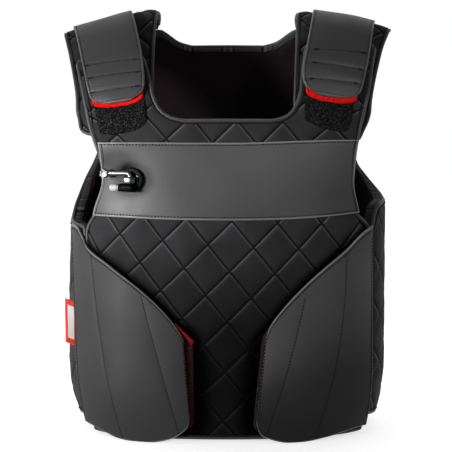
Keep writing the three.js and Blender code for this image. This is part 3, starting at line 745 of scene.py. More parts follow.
def leather(name, dark, light, edge_light, gloss=0.3):
    finish = new_finish(name, light, {"Roughness": 0.5, "Specular IOR Level": gloss})
    tint(finish, clouds(finish, 9), dark, light)
    vary_roughness(finish, clouds(finish, 60), 0.4, 0.58)
    emboss(finish, cells(finish, 800), 0.25, 0.0004)
    emboss(finish, clouds(finish, 220), 0.15, 0.0006)
    paint_light_and_shade(finish, edge_light)
    return finish


band_leather = leather("band_leather", (0.028, 0.0272, 0.028), (0.044, 0.0432, 0.044), 2.0)


def roll_at(margin):
    for (near, low), (far, high) in zip(EDGE_ROLL, EDGE_ROLL[1:]):
        if margin <= far:
            return mixed(low, high, (margin - near) / (far - near))
    return 0


def edge_spaced(length, steps):
    rolled = [margin for margin, _ in EDGE_ROLL]
    middle = [mixed(rolled[-1], length - rolled[-1], step / steps) for step in range(1, steps)]
    return [*rolled, *middle, *(length - margin for margin in reversed(rolled))]


def rolled_sheet(name, point, width, height, steps, thickness, finish, shape=nowhere, shade=nowhere):
    """A thin sheet between two faces: point(p, q, lift) places it, with p and q from 0 to 1."""
    columns = edge_spaced(width, steps[0])
    bm = bmesh.new()
    rows = len(edge_spaced(1000, steps[1]))
    bmesh.ops.create_grid(bm, x_segments=len(columns) - 1, y_segments=rows - 1, size=1)
    share = bm.verts.layers.float_vector.new("share")
    painted_light = bm.verts.layers.float.new("painted_light")
    for vert in bm.verts:
        across = columns[round((vert.co.x + 1) / 2 * (len(columns) - 1))]
        length = height(across / width)
        along = edge_spaced(length, steps[1])[round((vert.co.y + 1) / 2 * (rows - 1))]
        p, q = across / width, along / length
        margin = min(across, width - across, along, length - along)
        vert[share] = (p, q, 0)
        # Painted highlight on the rolled edge, less the painted light and shade that shade() gives
        vert[painted_light] = 1 - eased(margin, 1.1, 2.6) - shade(p, q)
        vert.co = IN_PLACE @ point(p, q, thickness + roll_at(margin) + shape(p, q))
    for vert in add_inner_face(bm):
        p, q, _ = vert[share]
        vert.co = IN_PLACE @ point(p, q, 0)
    return add_piece(name, bm, [finish])


def running_stitch(run, cover=0.48):
    knots = even_run(run, STITCH_PITCH, closed=False)
    return [
        [start, start.lerp(end, cover / 2), start.lerp(end, cover)] for start, end in zip(knots, knots[1:])
    ]


def seam_on(point, path, lift):
    return [point(p, q, lift) for p, q in path]


def shares(start, end, count=40):
    return [mixed(start, end, step / count) for step in range(count + 1)]


BAND_THICKNESS = 2
BAND_WIDTH = 330
BAND_HEIGHT = 97
BAND_THREAD = 1.5
END_CHANNEL = 4.6


def band_point(p, q, lift):
    bottom = BAND_BOTTOM + (4 + 4 * p) * (2 * p - 1) ** 2
    level = mixed(bottom, BAND_TOP + 2 * (2 * p - 1) ** 2 + 3.4 * eased(p, 0.5, 1), q)
    edge = mixed(mixed(182 - 6 * p, 163.6, eased(level, 280, 332)), 159, eased(level, 318, 378)) - 1.5
    return lifted(around_point, (2 * p - 1) * edge, level, 0.3 + lift)


def band_shape(p, q):
    full = 0.7 * (1 - (2 * q - 1) ** 2)
    return full + 0.35 * noise.noise(Vector((p * 7, q * 2.4, 1)))


def valve_painted_shadow(p, q):
    """Painted shadow: the leather is darkened round the foot of the valve and above its pipe."""
    across, along = p * BAND_WIDTH, q * BAND_HEIGHT
    foot = Vector(((across - 44) / 24, (along - 48) / 21)).length
    above = Vector(((across - 20) / 32, (along - 73) / 22)).length
    return 0.24 * (1 - eased(foot, 0.8, 1.35)) + 0.3 * (1 - eased(above, 0.35, 1.3))


chest_band = rolled_sheet(
    "chest_band", band_point, BAND_WIDTH, lambda p: BAND_HEIGHT, (110, 36), BAND_THICKNESS,
    band_leather, band_shape, valve_painted_shadow,
)
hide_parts("chest_band")
band_seams = []
for q in (CHANNEL / BAND_HEIGHT, 1 - CHANNEL / BAND_HEIGHT):
    long_path = [(p, q) for p in shares(0.012, 0.988, 120)]
    band_seams += running_stitch(seam_on(band_point, long_path, BAND_THICKNESS))
for p in (END_CHANNEL / BAND_WIDTH, 1 - END_CHANNEL / BAND_WIDTH):
    end_path = [(p, q) for q in shares(0.01, 0.99, 30)]
    band_seams.append(seam_on(band_point, end_path, BAND_THICKNESS + 0.1))
band_stitches = add_tube("band_stitches", band_seams, BAND_THREAD, black_thread, sides=0)


# Loop patches: a pad of soft black loop pile with a rounded end, sewn to each front tab.
# The lower end of the shoulder strap fastens to it.
loop_pile = new_finish("loop_pile", (0.008, 0.008, 0.009), {"Roughness": 1.0, "Specular IOR Level": 0.1})
tint(loop_pile, clouds(loop_pile, 520, 4), (0.0015, 0.0015, 0.0015), (0.04, 0.04, 0.041), 0.5, 0.78)
emboss(loop_pile, cells(loop_pile, 700), 0.8, 0.001)
PATCH_SHAPES = {
    "left": [
        (-169, 456), (-169, 421), (-166.5, 409), (-163.8, 396), (-161.5, 389), (-156, 386), (-146, 386.2),
        (-133, 387.6), (-118.4, 391), (-109.7, 395), (-103.2, 402), (-103, 411), (-104.5, 428), (-105, 456),
    ],
    "right": [
        (97, 456), (97, 428), (95.8, 416), (96.6, 405.5), (107, 399.3), (118.6, 394.5), (137.5, 390.9),
        (147.5, 390.6), (152.4, 394), (155.9, 408), (158.3, 422.5), (160, 456),
    ],
}
PATCH_GAP = 0.1
PILE_HEIGHT = 1.6
PILE_MESH = 1.4
PILE_EDGE_STEP = 1.5


def front_face(x, z):
    level = z
    for _ in range(4):
        level = z + (level - form_point(x, level, 0).z)
    return form_point(x, level, -half_depth(level))


for word in ("left", "right"):
    patch_outline = even_run(smooth_curve(PATCH_SHAPES[word], 4), PILE_EDGE_STEP)
    pile = ruled_cloth(patch_outline, square_rules(PILE_MESH), (0,))
    pile_place = pile.verts.layers.float_vector.new("place")
    patch_finder = edge_finder(patch_outline)
    for vert in pile.verts:
        u, v, _ = vert.co
        vert[pile_place] = (u, v, 0)
        tuft = 0.4 * noise.noise(Vector((u * 0.9, v * 0.9, 2)))
        tuft += 0.3 * noise.noise(Vector((u * 0.4, v * 0.4, 7)))
        rim = 1 - eased(patch_finder.find(vert.co)[2], 0, 2.5)
        height = PILE_HEIGHT * (1 - 0.6 * rim) + tuft
        vert.co = IN_PLACE @ lifted(front_face, u, v, PATCH_GAP + height)
    for vert in add_inner_face(pile):
        u, v, _ = vert[pile_place]
        vert.co = IN_PLACE @ lifted(front_face, u, v, PATCH_GAP)
    patch = add_piece(f"loop_patch_{word}", pile, [loop_pile])
    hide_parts(f"loop_patch_{word}")


# Strap tips: a pull tab of bright red felt, sewn under the lower end of each shoulder strap.
# Its rounded edge looks out below the strap and lies on the loop patch.
red_felt = new_finish("red_felt", (0.62, 0.006, 0.005), {"Roughness": 0.8, "Specular IOR Level": 0.02})
tint(red_felt, clouds(red_felt, 350), (0.34, 0.002, 0.002), (0.62, 0.007, 0.006))
emboss(red_felt, clouds(red_felt, 1500), 0.5, 0.0005)
TIP_ROWS = [(27.35, 121, 141), (27.6, 115, 147), (28.1, 108, 155), (28.7, 103.5, 159.5)]
TIP_ROWS += [(29.3, 101, 162.5), (31, 99.8, 165), (38, 101, 166.5)]
TIP_WIDTH = 60
TIP_LENGTH = 28
TIP_LIFT = 2.6
TIP_RAISE = {"left": 0.45, "right": 0}
TIP_THICKNESS = 1.2
END_RAISE = {"left": 0, "right": 1.7}
OUTWARD = {"left": 6.5, "right": -2}


def row_at(rows, place):
    """The row at a place along a table, smooth between the rows given."""
    index = min(len(rows) - 2, max(0, bisect.bisect([row[0] for row in rows], place) - 1))
    before, start, end, after = (
        Vector(rows[min(len(rows) - 1, max(0, index + step))]) for step in (-1, 0, 1, 2)
    )
    length = end[0] - start[0]
    part = min(1, max(0, (place - start[0]) / length))
    leaving = (end - before) * (length / (end[0] - before[0]))
    coming = (after - start) * (length / (after[0] - start[0]))
    bend = (leaving * (1 - part) - coming * part) * part * (1 - part)
    return start.lerp(end, part * part * (3 - 2 * part)) + bend


def strip_place(rows, word, p, q):
    arch, near, far = row_at(rows, mixed(rows[0][0], rows[-1][0], q))
    arch += END_RAISE[word] * (1 - eased(arch, 34, 60))
    if word == "left":
        return -mixed(far, near, p) - OUTWARD[word], arch
    return mixed(near, far, p) + OUTWARD[word], arch


for word in ("left", "right"):

    def tip_point(p, q, lift):
        x, arch = strip_place(TIP_ROWS, word, p, q)
        return lifted(arch_point, x, arch + TIP_RAISE[word], TIP_LIFT + lift)

    tip = rolled_sheet(
        f"strap_tip_{word}", tip_point, TIP_WIDTH, lambda p: TIP_LENGTH, (24, 10), TIP_THICKNESS, red_felt
    )
    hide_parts(f"strap_tip_{word}")


# Shoulder straps: leather-look straps over the shoulders, doubled and stitched across three times
# near the lower end, with a bar tack at each end of these rows.
STRAP_ROWS = {
    "left": [
        (29.05, 120, 139), (29.35, 115, 146.5), (29.9, 110.5, 152.5), (30.5, 105.5, 158), (31.2, 102, 162),
        (33.3, 98.2, 167), (38, 98.5, 171), (50, 104, 180), (70, 115, 192), (90, 122, 200),
        (110, 119, 196), (134, 109, 180),
    ],
    "right": [
        (29.05, 120, 139), (29.35, 115, 146.5), (29.9, 110.5, 152.5), (30.5, 105.5, 158.5),
        (31.2, 101.5, 163), (33.3, 96.5, 168.5), (38, 95.5, 173.5), (50, 102, 181.5), (70, 111, 191.5),
        (90, 116, 198.5), (110, 114, 195), (134, 105, 180),
    ],
}
# Painted shade: the strap leather is a darker copy of the band leather, darkened for the shade on the straps.
strap_leather_painted_shade = leather("strap_leather_painted_shade", (0.02, 0.0196, 0.02), (0.026, 0.0255, 0.026), 0.9)
STRAP_WIDTH = 74
STRAP_LENGTH = 290
STRAP_THICKNESS = 3
STRAP_THREAD = 1.0
TACK_THREAD = 2.0
CROSS_GROOVE = 0.7
CROSS_GROOVE_WIDTH = 2 / 3
CROSS_ROWS = {
    "left": [
        ((183.8, 47.4), (112.1, 44.7)), ((179.2, 41.5), (107.9, 39.1)), ((175.3, 34.8), (107.6, 33.8)),
    ],
    "right": [
        ((178.4, 53.2), (106.2, 48.8)), ((172, 44.6), (103.2, 42.9)), ((164.8, 38.2), (99, 36.1)),
    ],
}


def strap_under(arch):
    over_patch = mixed(4.1, 2.6, eased(arch, 40, 44))
    return mixed(over_patch, 0.8, eased(arch, 46, 62))


for word, side in (("left", -1), ("right", 1)):

    def strap_point(p, q, lift):
        x, arch = strip_place(STRAP_ROWS[word], word, p, q)
        return lifted(arch_point, x, arch, strap_under(arch) + lift)

    def strap_shape(p, q):
        x, arch = strip_place(STRAP_ROWS[word], word, p, q)
        crown = 0.8 * (1 - (2 * p - 1) ** 2)
        for (far, outer), (near, inner) in CROSS_ROWS[word]:
            row = mixed(inner, outer, (abs(x) - near) / (far - near))
            crown -= CROSS_GROOVE * math.exp(-(((arch - row) / CROSS_GROOVE_WIDTH) ** 2))
        return crown + 0.4 * noise.noise(Vector((p * 2.5, q * 9, side)))

    strap = rolled_sheet(
        f"shoulder_strap_{word}", strap_point, STRAP_WIDTH, lambda p: STRAP_LENGTH, (26, 150),
        STRAP_THICKNESS, strap_leather_painted_shade, strap_shape,
    )
    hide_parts(f"shoulder_strap_{word}")
    seams = []
    for p in (CHANNEL / STRAP_WIDTH, 1 - CHANNEL / STRAP_WIDTH):
        edge_path = [(p, q) for q in shares(0.03, 0.97, 120)]
        seams += running_stitch(seam_on(strap_point, edge_path, STRAP_THICKNESS))
    tacks = []
    for (far, outer), (near, inner) in CROSS_ROWS[word]:
        row = []
        for share in shares(0.02, 0.98):
            arch = mixed(outer, inner, share)
            lift = strap_under(arch) + STRAP_THICKNESS + 0.3
            row.append(lifted(arch_point, side * mixed(far, near, share), arch, lift))
        seams += running_stitch(row)
        tacks += [row[1:5], row[-5:-1]]
    strap_stitches = add_tube(f"strap_stitches_{word}", seams, STRAP_THREAD, black_thread, sides=0)
    strap_tacks = add_tube(f"strap_tacks_{word}", tacks, TACK_THREAD, black_thread, sides=1)


# Flap backings: pads of short dark hook pile under the free ends of the waist flaps, the left one
# on a red ground cloth. They show as a rough rim beside the flap's edge.
HOOK_COLOURS = {
    "left": [(0.006, 0.0015, 0.0015), (0.035, 0.009, 0.008)],
    "right": [(0.008, 0.006, 0.006), (0.05, 0.04, 0.038)],
}
BACKING_RIBS = {
    "left": [(-122, 185, -116, 16), (-84, 156, -72, 12), (-56, 132, -50, 14), (-43.5, 122, -43, 22)],
    "right": [(42, 124, 32, 20), (48, 138, 38, 12), (80, 168, 66, 12), (118, 200, 108, 16)],
}
BACKING_WIDTH = 80
BACKING_LENGTH = 120
BACKING_THICKNESS = 3


def ribbed_place(ribs, p, q):
    top_u, top_v, hem_u, hem_v = curve_at(ribs, p)
    return mixed(hem_u, top_u, q), mixed(hem_v, top_v, q)


for word in ("left", "right"):

    def backing_point(p, q, lift):
        return lifted(around_point, *ribbed_place(BACKING_RIBS[word], p, q), 1 + lift)

    def backing_shape(p, q):
        u, v = ribbed_place(BACKING_RIBS[word], p, q)
        return 0.5 * noise.noise(Vector((u * 0.8, v * 0.8, 3)))

    hook_pile = new_finish(
        f"hook_pile_{word}", (0.02, 0.01, 0.01), {"Roughness": 1.0, "Specular IOR Level": 0.1}
    )
    tint(hook_pile, clouds(hook_pile, 600), *HOOK_COLOURS[word], 0.4, 0.75)
    emboss(hook_pile, cells(hook_pile, 800), 0.8, 0.001)
    backing = rolled_sheet(
        f"flap_backing_{word}", backing_point, BACKING_WIDTH, lambda p: BACKING_LENGTH, (40, 60),
        BACKING_THICKNESS, hook_pile, backing_shape,
    )
    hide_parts(f"flap_backing_{word}")


# Flap corner: the red felt corner of the hook pad under the left flap, sewn to the face of the pad.
# It looks out beside the slanting edge of the flap.
CORNER_RIBS = [(-66, 150.5, -67, 147), (-55, 139.5, -57, 136), (-42.6, 127.6, -45, 121)]
CORNER_WIDTH = 33
CORNER_LENGTH = 11.5
CORNER_LIFT = 4.3
# Painted shadow: this felt is a darker copy of the red felt, darkened for the shadow of the flap over it.
red_felt_painted_shadow = new_finish("red_felt_painted_shadow", (0.2, 0.003, 0.003), {"Roughness": 0.85, "Specular IOR Level": 0.1})
dark_fibre = clouds(red_felt_painted_shadow, 350)
tint(red_felt_painted_shadow, dark_fibre, (0.05, 0.0006, 0.0006), (0.2, 0.002, 0.002))
emboss(red_felt_painted_shadow, dark_fibre, 0.4, 0.0005)


def corner_point(p, q, lift):
    return lifted(around_point, *ribbed_place(CORNER_RIBS, p, q), CORNER_LIFT + lift)


flap_corner = rolled_sheet(
    "flap_tip_left", corner_point, CORNER_WIDTH, lambda p: CORNER_LENGTH, (8, 4), TIP_THICKNESS, red_felt_painted_shadow
)
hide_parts("flap_tip_left")


# Waist flaps: large leather-look flaps sewn to the wings and closed over the front. Each is
# doubled, rolled and stitched along its edge, and sewn through in two long lines.
FLAP_RIBS = {
    "left": [
        (-228, 270, -209, 10),
        (-211, 267, -185, 6.5),
        (-199, 255, -163, 2),
        (-186, 239, -142, -2.5),
        (-150, 219.5, -103, -4.6),
        (-110, 191.5, -72, 1.5),
        (-82, 166, -58, 10),
        (-64, 144, -50, 19),
        (-56, 130, -48.4, 33),
    ],
    "right": [
        (47, 122, 36, 24),
        (52, 144, 40, 9),
        (70, 169, 50, 2),
        (97, 197, 74, -4.2),
        (124, 220, 100, -3.6),
        (153, 241, 128, 0.5),
        (176, 259, 165, 6),
        (197, 269, 199, 7),
    ],
}
FLAP_SEAMS = {
    "left": [(0.399, 0.374, 0.393, 0.985), (0.715, 0.654, 0.623, 0.985)],
    "right": [(0.261, 0.373, 0.444, 0.92), (0.626, 0.723, 0.706, 0.985)],
}
FLAP_LIFT = {"left": 5.8, "right": 4.3}
# Painted shade: the flap leather is a darker copy of the band leather, darkened for the shade on the flaps.
flap_leather_painted_shade = leather("flap_leather_painted_shade", (0.0215, 0.021, 0.0215), (0.0305, 0.0298, 0.0302), 3.0, 0.1)
FLAP_WIDTH = 205
FLAP_CHANNEL = 5
FLAP_THICKNESS = 3
FLAP_THREAD = 1.6
EDGE_STITCH_LIFT = 3.1
EDGE_STITCH_COVER = 0.62


def flap_seam_at(seam, q):
    hem, middle, top, _ = seam
    return hem * (1 - q) * (1 - 2 * q) + 4 * middle * q * (1 - q) + top * q * (2 * q - 1)


def right_flap_painted_light(p, q):
    """Painted light and shade: the right flap is painted paler at its top and darker towards its hem."""
    return 0.16 * (1 - eased(q, 0.05, 0.6)) - 0.3 * eased(q, 0.3, 0.8)


for word in ("left", "right"):

    def flap_point(p, q, lift):
        u, v = ribbed_place(FLAP_RIBS[word], p, q)
        under = mixed(FLAP_LIFT[word], 1, eased(abs(u), 128, 190))
        return lifted(around_point, u, v, under + lift)

    def flap_height(p):
        top_u, top_v, hem_u, hem_v = curve_at(FLAP_RIBS[word], p)
        return math.hypot(top_u - hem_u, top_v - hem_v)

    def flap_shape(p, q):
        swell_up = 0.9
        for seam in FLAP_SEAMS[word]:
            gap = abs(p - flap_seam_at(seam, q)) * FLAP_WIDTH
            swell_up -= math.exp(-gap / 5)
        inside = min(1, 4 * p, 4 * (1 - p), 4 * q, 4 * (1 - q))
        return inside * (swell_up + 0.8 * noise.noise(Vector((p * 3, q * 3.3, 5))))

    flap = rolled_sheet(
        f"side_flap_{word}", flap_point, FLAP_WIDTH, flap_height, (100, 70), FLAP_THICKNESS,
        flap_leather_painted_shade, flap_shape, right_flap_painted_light if word == "right" else nowhere,
    )
    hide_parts(f"side_flap_{word}")
    seams = []
    for seam in FLAP_SEAMS[word]:
        path = [(flap_seam_at(seam, q), q) for q in shares(0.015, seam[3], 60)]
        lifts = [FLAP_THICKNESS + flap_shape(p, q) + 0.15 for p, q in path]
        seams += running_stitch([flap_point(*spot, lift) for spot, lift in zip(path, lifts)])
    edge_paths = [[(p, 1 - FLAP_CHANNEL / flap_height(p)) for p in shares(0.03, 0.97, 90)]]
    for p in (FLAP_CHANNEL / FLAP_WIDTH, 1 - FLAP_CHANNEL / FLAP_WIDTH):
        edge_paths.append([(p, q) for q in shares(0.05, 0.95, 60)])
    for path in edge_paths:
        seams += running_stitch(seam_on(flap_point, path, EDGE_STITCH_LIFT), EDGE_STITCH_COVER)
    flap_stitches = add_tube(f"flap_stitches_{word}", seams, FLAP_THREAD, black_thread, sides=0)


# Side label: a red woven ribbon, folded into a loop and caught in the left side seam.
# A blank white panel is woven into its face.
LABEL_AROUND = -222
LABEL_LEVEL = 141
PANEL_START = 3
PANEL_END = 11.8
PANEL_HALF_HEIGHT = 21.5
LABEL_FOLD = 15
LABEL_COLUMNS = [0, PANEL_START, 7, PANEL_END, 13.6, 14.6]
LABEL_ROWS = [-29, -28, -24.5, -PANEL_HALF_HEIGHT, -14, -7, 0, 7, 14, PANEL_HALF_HEIGHT, 24.5, 28, 29]
LABEL_RISE = 0.45
LABEL_SINK = 3.5
LAYER_GAP = 0.45
RIBBON_THICKNESS = 0.0003
red_ribbon = new_finish("red_ribbon", (0.7, 0.03, 0.012), {"Roughness": 0.6, "Sheen Weight": 0.15})
ribbon_weave = cells(red_ribbon, 1800)
tint(red_ribbon, ribbon_weave, (0.8, 0.03, 0.018), (0.98, 0.06, 0.035), 0.1, 0.6)
emboss(red_ribbon, ribbon_weave, 0.4, 0.0003)
white_weave = new_finish("white_weave", (0.75, 0.73, 0.72), {"Roughness": 0.7})
panel_weave = cells(white_weave, 1800)
tint(white_weave, panel_weave, (0.9, 0.88, 0.88), (1.0, 0.98, 0.98), 0.1, 0.6)
emboss(white_weave, panel_weave, 0.4, 0.0003)
label_foot = lifted(around_point, LABEL_AROUND, LABEL_LEVEL, 0.3)
label_out = (lifted(around_point, LABEL_AROUND, LABEL_LEVEL, 1.3) - label_foot).normalized()
label_side = label_out.cross(Vector((0, 0, 1)))
ribbon = bmesh.new()
profile = [(out, LAYER_GAP) for out in LABEL_COLUMNS]
profile += [(LABEL_FOLD, 0), *((out, -LAYER_GAP) for out in reversed(LABEL_COLUMNS))]
chain = [ribbon.verts.new((out, across, LABEL_ROWS[0])) for out, across in profile]
edges = [ribbon.edges.new(pair) for pair in zip(chain, chain[1:])]
for low, high in zip(LABEL_ROWS, LABEL_ROWS[1:]):
    grown = bmesh.ops.extrude_edge_only(ribbon, edges=edges)["geom"]
    edges = of_kind(grown, bmesh.types.BMEdge)
    bmesh.ops.translate(ribbon, verts=of_kind(grown, bmesh.types.BMVert), vec=(0, 0, high - low))
bmesh.ops.recalc_face_normals(ribbon, faces=ribbon.faces)
for face in ribbon.faces:
    middle = face.calc_center_median()
    in_panel = PANEL_START < middle.x < PANEL_END and abs(middle.z) < PANEL_HALF_HEIGHT
    face.material_index = int(in_panel)
for vert in ribbon.verts:
    curl = 0.5 * math.sin(vert.co.z * 0.09) * vert.co.x / 13
    level = Vector((0, 0, vert.co.z + vert.co.x * LABEL_RISE - LABEL_SINK))
    vert.co = IN_PLACE @ (label_foot + label_out * vert.co.x + label_side * (vert.co.y + curl) + level)
bmesh.ops.solidify(ribbon, geom=ribbon.faces[:], thickness=RIBBON_THICKNESS)
side_label = add_piece("side_label", ribbon, [red_ribbon, white_weave])
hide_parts("side_label")


# Inflation valve: a black moulded housing fixed through the chest band, a chromed pipe that bends
# from a six-sided collar to an end nut, and a pale dust plug in the side of its barrel.
VALVE_ACROSS = -123.7
VALVE_LEVEL = 329
VALVE_TURN = math.radians(-17)
VALVE_OUT = 3.3
PLATE_MIDDLE = 4
PLATE_REACH = {"barrel side": 8, "far side": 16}
PLATE_HALF_HEIGHT = 15.5
PLATE_RAISE = 0.6
PLATE_THICKNESS = 4.5
BARREL_RADIUS = 5.3
BARREL_LENGTH = 16
BARREL_MIDDLE = 2
COLLAR_RADIUS = 7.8
COLLAR_HEIGHT = 8
COLLAR_MIDDLE = 4.5
PIPE_OUT = 11
PIPE_RADIUS = 2.8
PIPE_FOOT = (5.5, -PIPE_OUT, 4.2)
BEND_CENTRE = (0.7, -PIPE_OUT, 4.2)
PIPE_REACH = 25.5
NUT_RADIUS = 5.77
NUT_LENGTH = 9
NUT_PLACE = (-28.2, -PIPE_OUT, 8.4)
PLUG_LEVEL = -9
PLUG_PROFILE = [(-21, 0), (-21, 2.6), (-20.4, 3.6), (-19.4, 4.1), (-11.6, 4.1), (-11.4, 3.4), (-9.2, 3.4)]
PLUG_PROFILE += [(-9, 4.7), (-6.3, 4.7), (-6.3, 0)]
PLUG_BLACK_FROM = -10
valve_seat = form_point(VALVE_ACROSS, VALVE_LEVEL, -half_depth(VALVE_LEVEL))
valve_seat += Vector((math.sin(VALVE_TURN), -math.cos(VALVE_TURN), 0)) * VALVE_OUT
VALVE_PLACE = IN_PLACE @ Matrix.Translation(valve_seat) @ Matrix.Rotation(VALVE_TURN, 4, "Z")
ALONG_X = Matrix.Rotation(math.pi / 2, 4, "Y")
black_plastic = new_finish(
    "black_plastic", (0.0012, 0.0012, 0.0014), {"Roughness": 0.5, "Specular IOR Level": 0.04}
)
plastic_wear = clouds(black_plastic, 300)
vary_roughness(black_plastic, plastic_wear, 0.35, 0.6)
emboss(black_plastic, plastic_wear, 0.1, 0.0003)
chrome = new_finish("chrome", (0.13, 0.14, 0.14), {"Metallic": 0.85, "Roughness": 0.32})
vary_roughness(chrome, clouds(chrome, 250), 0.26, 0.4)
pale_plastic = new_finish(
    "pale_plastic", (0.28, 0.28, 0.285), {"Roughness": 0.4, "Specular IOR Level": 0.2}
)
vary_roughness(pale_plastic, clouds(pale_plastic, 300), 0.35, 0.5)


def soften(bm, edges, size, segments):
    bmesh.ops.bevel(
        bm, geom=edges, offset=size, segments=segments, profile=0.5, affect="EDGES", material=-1
    )


def sharp_edges(bm, limit=0.6):
    return [edge for edge in bm.edges if len(edge.link_faces) == 2 and edge.calc_face_angle() > limit]


def link_edges(verts):
    return {edge for vert in verts for edge in vert.link_edges}


def add_rod(bm, segments, radius, length, place):
    return bmesh.ops.create_cone(
        bm, cap_ends=True, segments=segments, radius1=radius, radius2=radius, depth=length, matrix=place
    )["verts"]


def add_block(bm, middle, size):
    place = Matrix.Translation(middle) @ Matrix.Diagonal((*size, 1))
    return bmesh.ops.create_cube(bm, size=1, matrix=place)["verts"]


def add_valve_part(name, bm, finishes):
    bmesh.ops.transform(bm, matrix=VALVE_PLACE, verts=bm.verts)
    part = add_piece(name, bm, finishes)
    part.data.set_sharp_from_angle(angle=math.radians(40))
    return part


housing = bmesh.new()
turns = [math.pi * (step / 20 - 0.5) for step in range(40)]
plate_edge = []
for turn in turns:
    reach = PLATE_REACH["far side" if math.cos(turn) > 0 else "barrel side"]
    across = PLATE_MIDDLE + reach * math.cos(turn)
    plate_edge.append((across, 0, PLATE_HALF_HEIGHT * math.sin(turn) + PLATE_RAISE))
plate = housing.faces.new([housing.verts.new(spot) for spot in plate_edge])
raised = bmesh.ops.extrude_face_region(housing, geom=[plate], use_keep_orig=True)["geom"]
bmesh.ops.translate(housing, verts=of_kind(raised, bmesh.types.BMVert), vec=(0, -PLATE_THICKNESS, 0))
bmesh.ops.recalc_face_normals(housing, faces=housing.faces)
front_rim = [edge for edge in sharp_edges(housing) if all(vert.co.y < -4 for vert in edge.verts)]
soften(housing, front_rim, 1.6, 4)
barrel_place = Matrix.Translation((BARREL_MIDDLE, -PIPE_OUT, PLUG_LEVEL)) @ ALONG_X
barrel_edges = link_edges(add_rod(housing, 32, BARREL_RADIUS, BARREL_LENGTH, barrel_place))
soften(housing, [edge for edge in sharp_edges(housing, 1.0) if edge in barrel_edges], 1.6, 4)
neck = add_block(housing, (BARREL_MIDDLE, -PIPE_OUT / 2, PLUG_LEVEL), (11, PIPE_OUT, 8))
soften(housing, list(link_edges(neck)), 1.0, 2)
valve_base = add_valve_part("valve_base", housing, [black_plastic])
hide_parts("valve_base")

slot_line = bmesh.new()
add_block(slot_line, (13, -4.6, 0.2), (0.9, 0.6, 10.4))
add_block(slot_line, (13, -4.6, 5.4), (4, 0.6, 0.9))
soften(slot_line, slot_line.edges[:], 0.2, 2)
valve_slot_line = add_valve_part("valve_slot_line", slot_line, [chrome])

collar = bmesh.new()
collar_place = Matrix.Translation((COLLAR_MIDDLE, -PIPE_OUT, 0.4)) @ Matrix.Rotation(math.pi / 6, 4, "Z")
add_rod(collar, 6, COLLAR_RADIUS, COLLAR_HEIGHT, collar_place)
end_edges = [edge for edge in collar.edges if abs(edge.verts[0].co.z - edge.verts[1].co.z) < 0.1]
soften(collar, end_edges, 1.4, 1)
soften(collar, sharp_edges(collar, 0.4), 0.3, 2)
valve_collar = add_valve_part("valve_collar", collar, [chrome])
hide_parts("valve_collar")

pipe = bmesh.new()
ring = bmesh.ops.create_circle(
    pipe, cap_ends=False, segments=24, radius=PIPE_RADIUS, matrix=Matrix.Translation(PIPE_FOOT)
)["verts"]
bend = bmesh.ops.spin(
    pipe, geom=ring + list(link_edges(ring)), cent=BEND_CENTRE, axis=(0, -1, 0), angle=math.pi / 2, steps=12
)["geom_last"]
grown = bmesh.ops.extrude_edge_only(pipe, edges=of_kind(bend, bmesh.types.BMEdge))["geom"]
bmesh.ops.translate(pipe, verts=of_kind(grown, bmesh.types.BMVert), vec=(-PIPE_REACH, 0, 0))
bmesh.ops.holes_fill(pipe, edges=pipe.edges)
valve_pipe = add_valve_part("valve_pipe", pipe, [chrome])
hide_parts("valve_pipe")

nut = bmesh.new()
nut_place = Matrix.Translation(NUT_PLACE) @ Matrix.Rotation(math.pi / 2, 4, "X")
add_rod(nut, 6, NUT_RADIUS, NUT_LENGTH, nut_place)
end_face = [face for face in nut.faces if face.calc_center_median().y < -PIPE_OUT - 4]
bmesh.ops.inset_region(nut, faces=end_face, thickness=1.1, depth=0.8)
bmesh.ops.inset_region(nut, faces=end_face, thickness=1.2, depth=-0.5)
soften(nut, sharp_edges(nut, 0.5), 0.3, 2)
valve_nut = add_valve_part("valve_nut", nut, [chrome])
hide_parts("valve_nut")

plug = bmesh.new()
spots = [plug.verts.new((along, -PIPE_OUT, PLUG_LEVEL + radius)) for along, radius in PLUG_PROFILE]
outline = [plug.edges.new(pair) for pair in zip(spots, spots[1:])]
bmesh.ops.spin(
    plug, geom=spots + outline, cent=(0, -PIPE_OUT, PLUG_LEVEL), axis=(1, 0, 0),
    angle=2 * math.pi, steps=32, use_merge=True,
)
bmesh.ops.remove_doubles(plug, verts=plug.verts, dist=0.01)
for face in plug.faces:
    face.material_index = int(face.calc_center_median().x > PLUG_BLACK_FROM)
valve_button = add_valve_part("valve_button", plug, [pale_plastic, black_plastic])
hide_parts("valve_button")


# Floor and light: a pale floor, dimmer in front, and a pale sky that is brightest behind and to the
# left. One lamp in front on the left lights the chest, a low one beside it the left flap, and one
# on the right the right shoulder.
floor_mesh = bmesh.new()
bmesh.ops.create_grid(floor_mesh, x_segments=8, y_segments=8, size=12)
floor_data = bpy.data.meshes.new("floor")
floor_mesh.to_mesh(floor_data)
floor_mesh.free()
floor = bpy.data.objects.new("floor", floor_data)
scene.collection.objects.link(floor)
pale_floor = new_finish(
    "pale_floor",
    (0.9, 0.9, 0.9),
    {"Roughness": 0.9, "Specular IOR Level": 0.1, "Emission Color": (1, 1, 1, 1)},
)
floor_tree = pale_floor.node_tree
floor_place = floor_tree.nodes.new("ShaderNodeTexCoord")
floor_parts = floor_tree.nodes.new("ShaderNodeSeparateXYZ")
floor_fade = floor_tree.nodes.new("ShaderNodeMapRange")
floor_fade.inputs["From Min"].default_value = -0.45
floor_fade.inputs["From Max"].default_value = -0.165
floor_tree.links.new(floor_place.outputs["Object"], floor_parts.inputs["Vector"])
floor_tree.links.new(floor_parts.outputs["Y"], floor_fade.inputs["Value"])
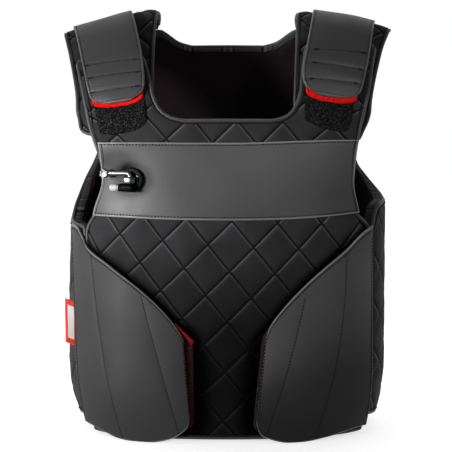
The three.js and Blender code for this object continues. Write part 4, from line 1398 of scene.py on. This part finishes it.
# Painted light: the floor glows where it is pale, the glow fading out with its colour towards the front.
floor_glow = floor_tree.nodes.new("ShaderNodeMath")
floor_glow.operation = "MULTIPLY"
floor_glow.inputs[1].default_value = 0.7
floor_tree.links.new(floor_fade.outputs["Result"], floor_glow.inputs[0])
floor_tree.links.new(
    floor_glow.outputs["Value"], floor_tree.nodes["Principled BSDF"].inputs["Emission Strength"]
)
tint(pale_floor, floor_fade.outputs["Result"], (0.4, 0.4, 0.4), (0.92, 0.92, 0.92), 0, 1)
floor_data.materials.append(pale_floor)


def add_lamp(name, place, aim, size, power, spread):
    lamp = bpy.data.objects.new(name, bpy.data.lights.new(name, "AREA"))
    lamp.data.spread = math.radians(spread)
    lamp.data.shape = "DISK"
    lamp.data.size = size
    lamp.data.energy = power
    lamp.location = place
    lamp.rotation_euler = (Vector(aim) - Vector(place)).to_track_quat("-Z", "Y").to_euler()
    scene.collection.objects.link(lamp)


add_lamp("key_lamp", (-1.25, -1.25, 0.42), (-0.125, -0.1, 0.36), 0.3, 1.15, 23)
add_lamp("low_lamp", (-1.4, -1.0, 0.2), (-0.2, -0.1, 0.13), 0.25, 0.24, 16)
add_lamp("side_lamp", (0.75, -1.3, 1.0), (0.14, -0.1, 0.42), 0.3, 0.16, 24)
scene.world = bpy.data.worlds.new("studio")
scene.world.use_nodes = True
studio = scene.world.node_tree
sky = studio.nodes["Background"]
sky.inputs["Color"].default_value = (1, 1, 1, 1)
facing = studio.nodes.new("ShaderNodeTexCoord")
rearward = studio.nodes.new("ShaderNodeVectorMath")
rearward.operation = "DOT_PRODUCT"
rearward.inputs[1].default_value = (-0.5, 1, 0)
fade = studio.nodes.new("ShaderNodeMapRange")
fade.inputs["From Min"].default_value = -0.08
fade.inputs["From Max"].default_value = 0.3
fade.inputs["To Min"].default_value = 0.2
fade.inputs["To Max"].default_value = 1.0
studio.links.new(facing.outputs["Generated"], rearward.inputs[0])
studio.links.new(rearward.outputs["Value"], fade.inputs["Value"])
studio.links.new(fade.outputs["Result"], sky.inputs["Strength"])
scene.view_settings.view_transform = "Standard"
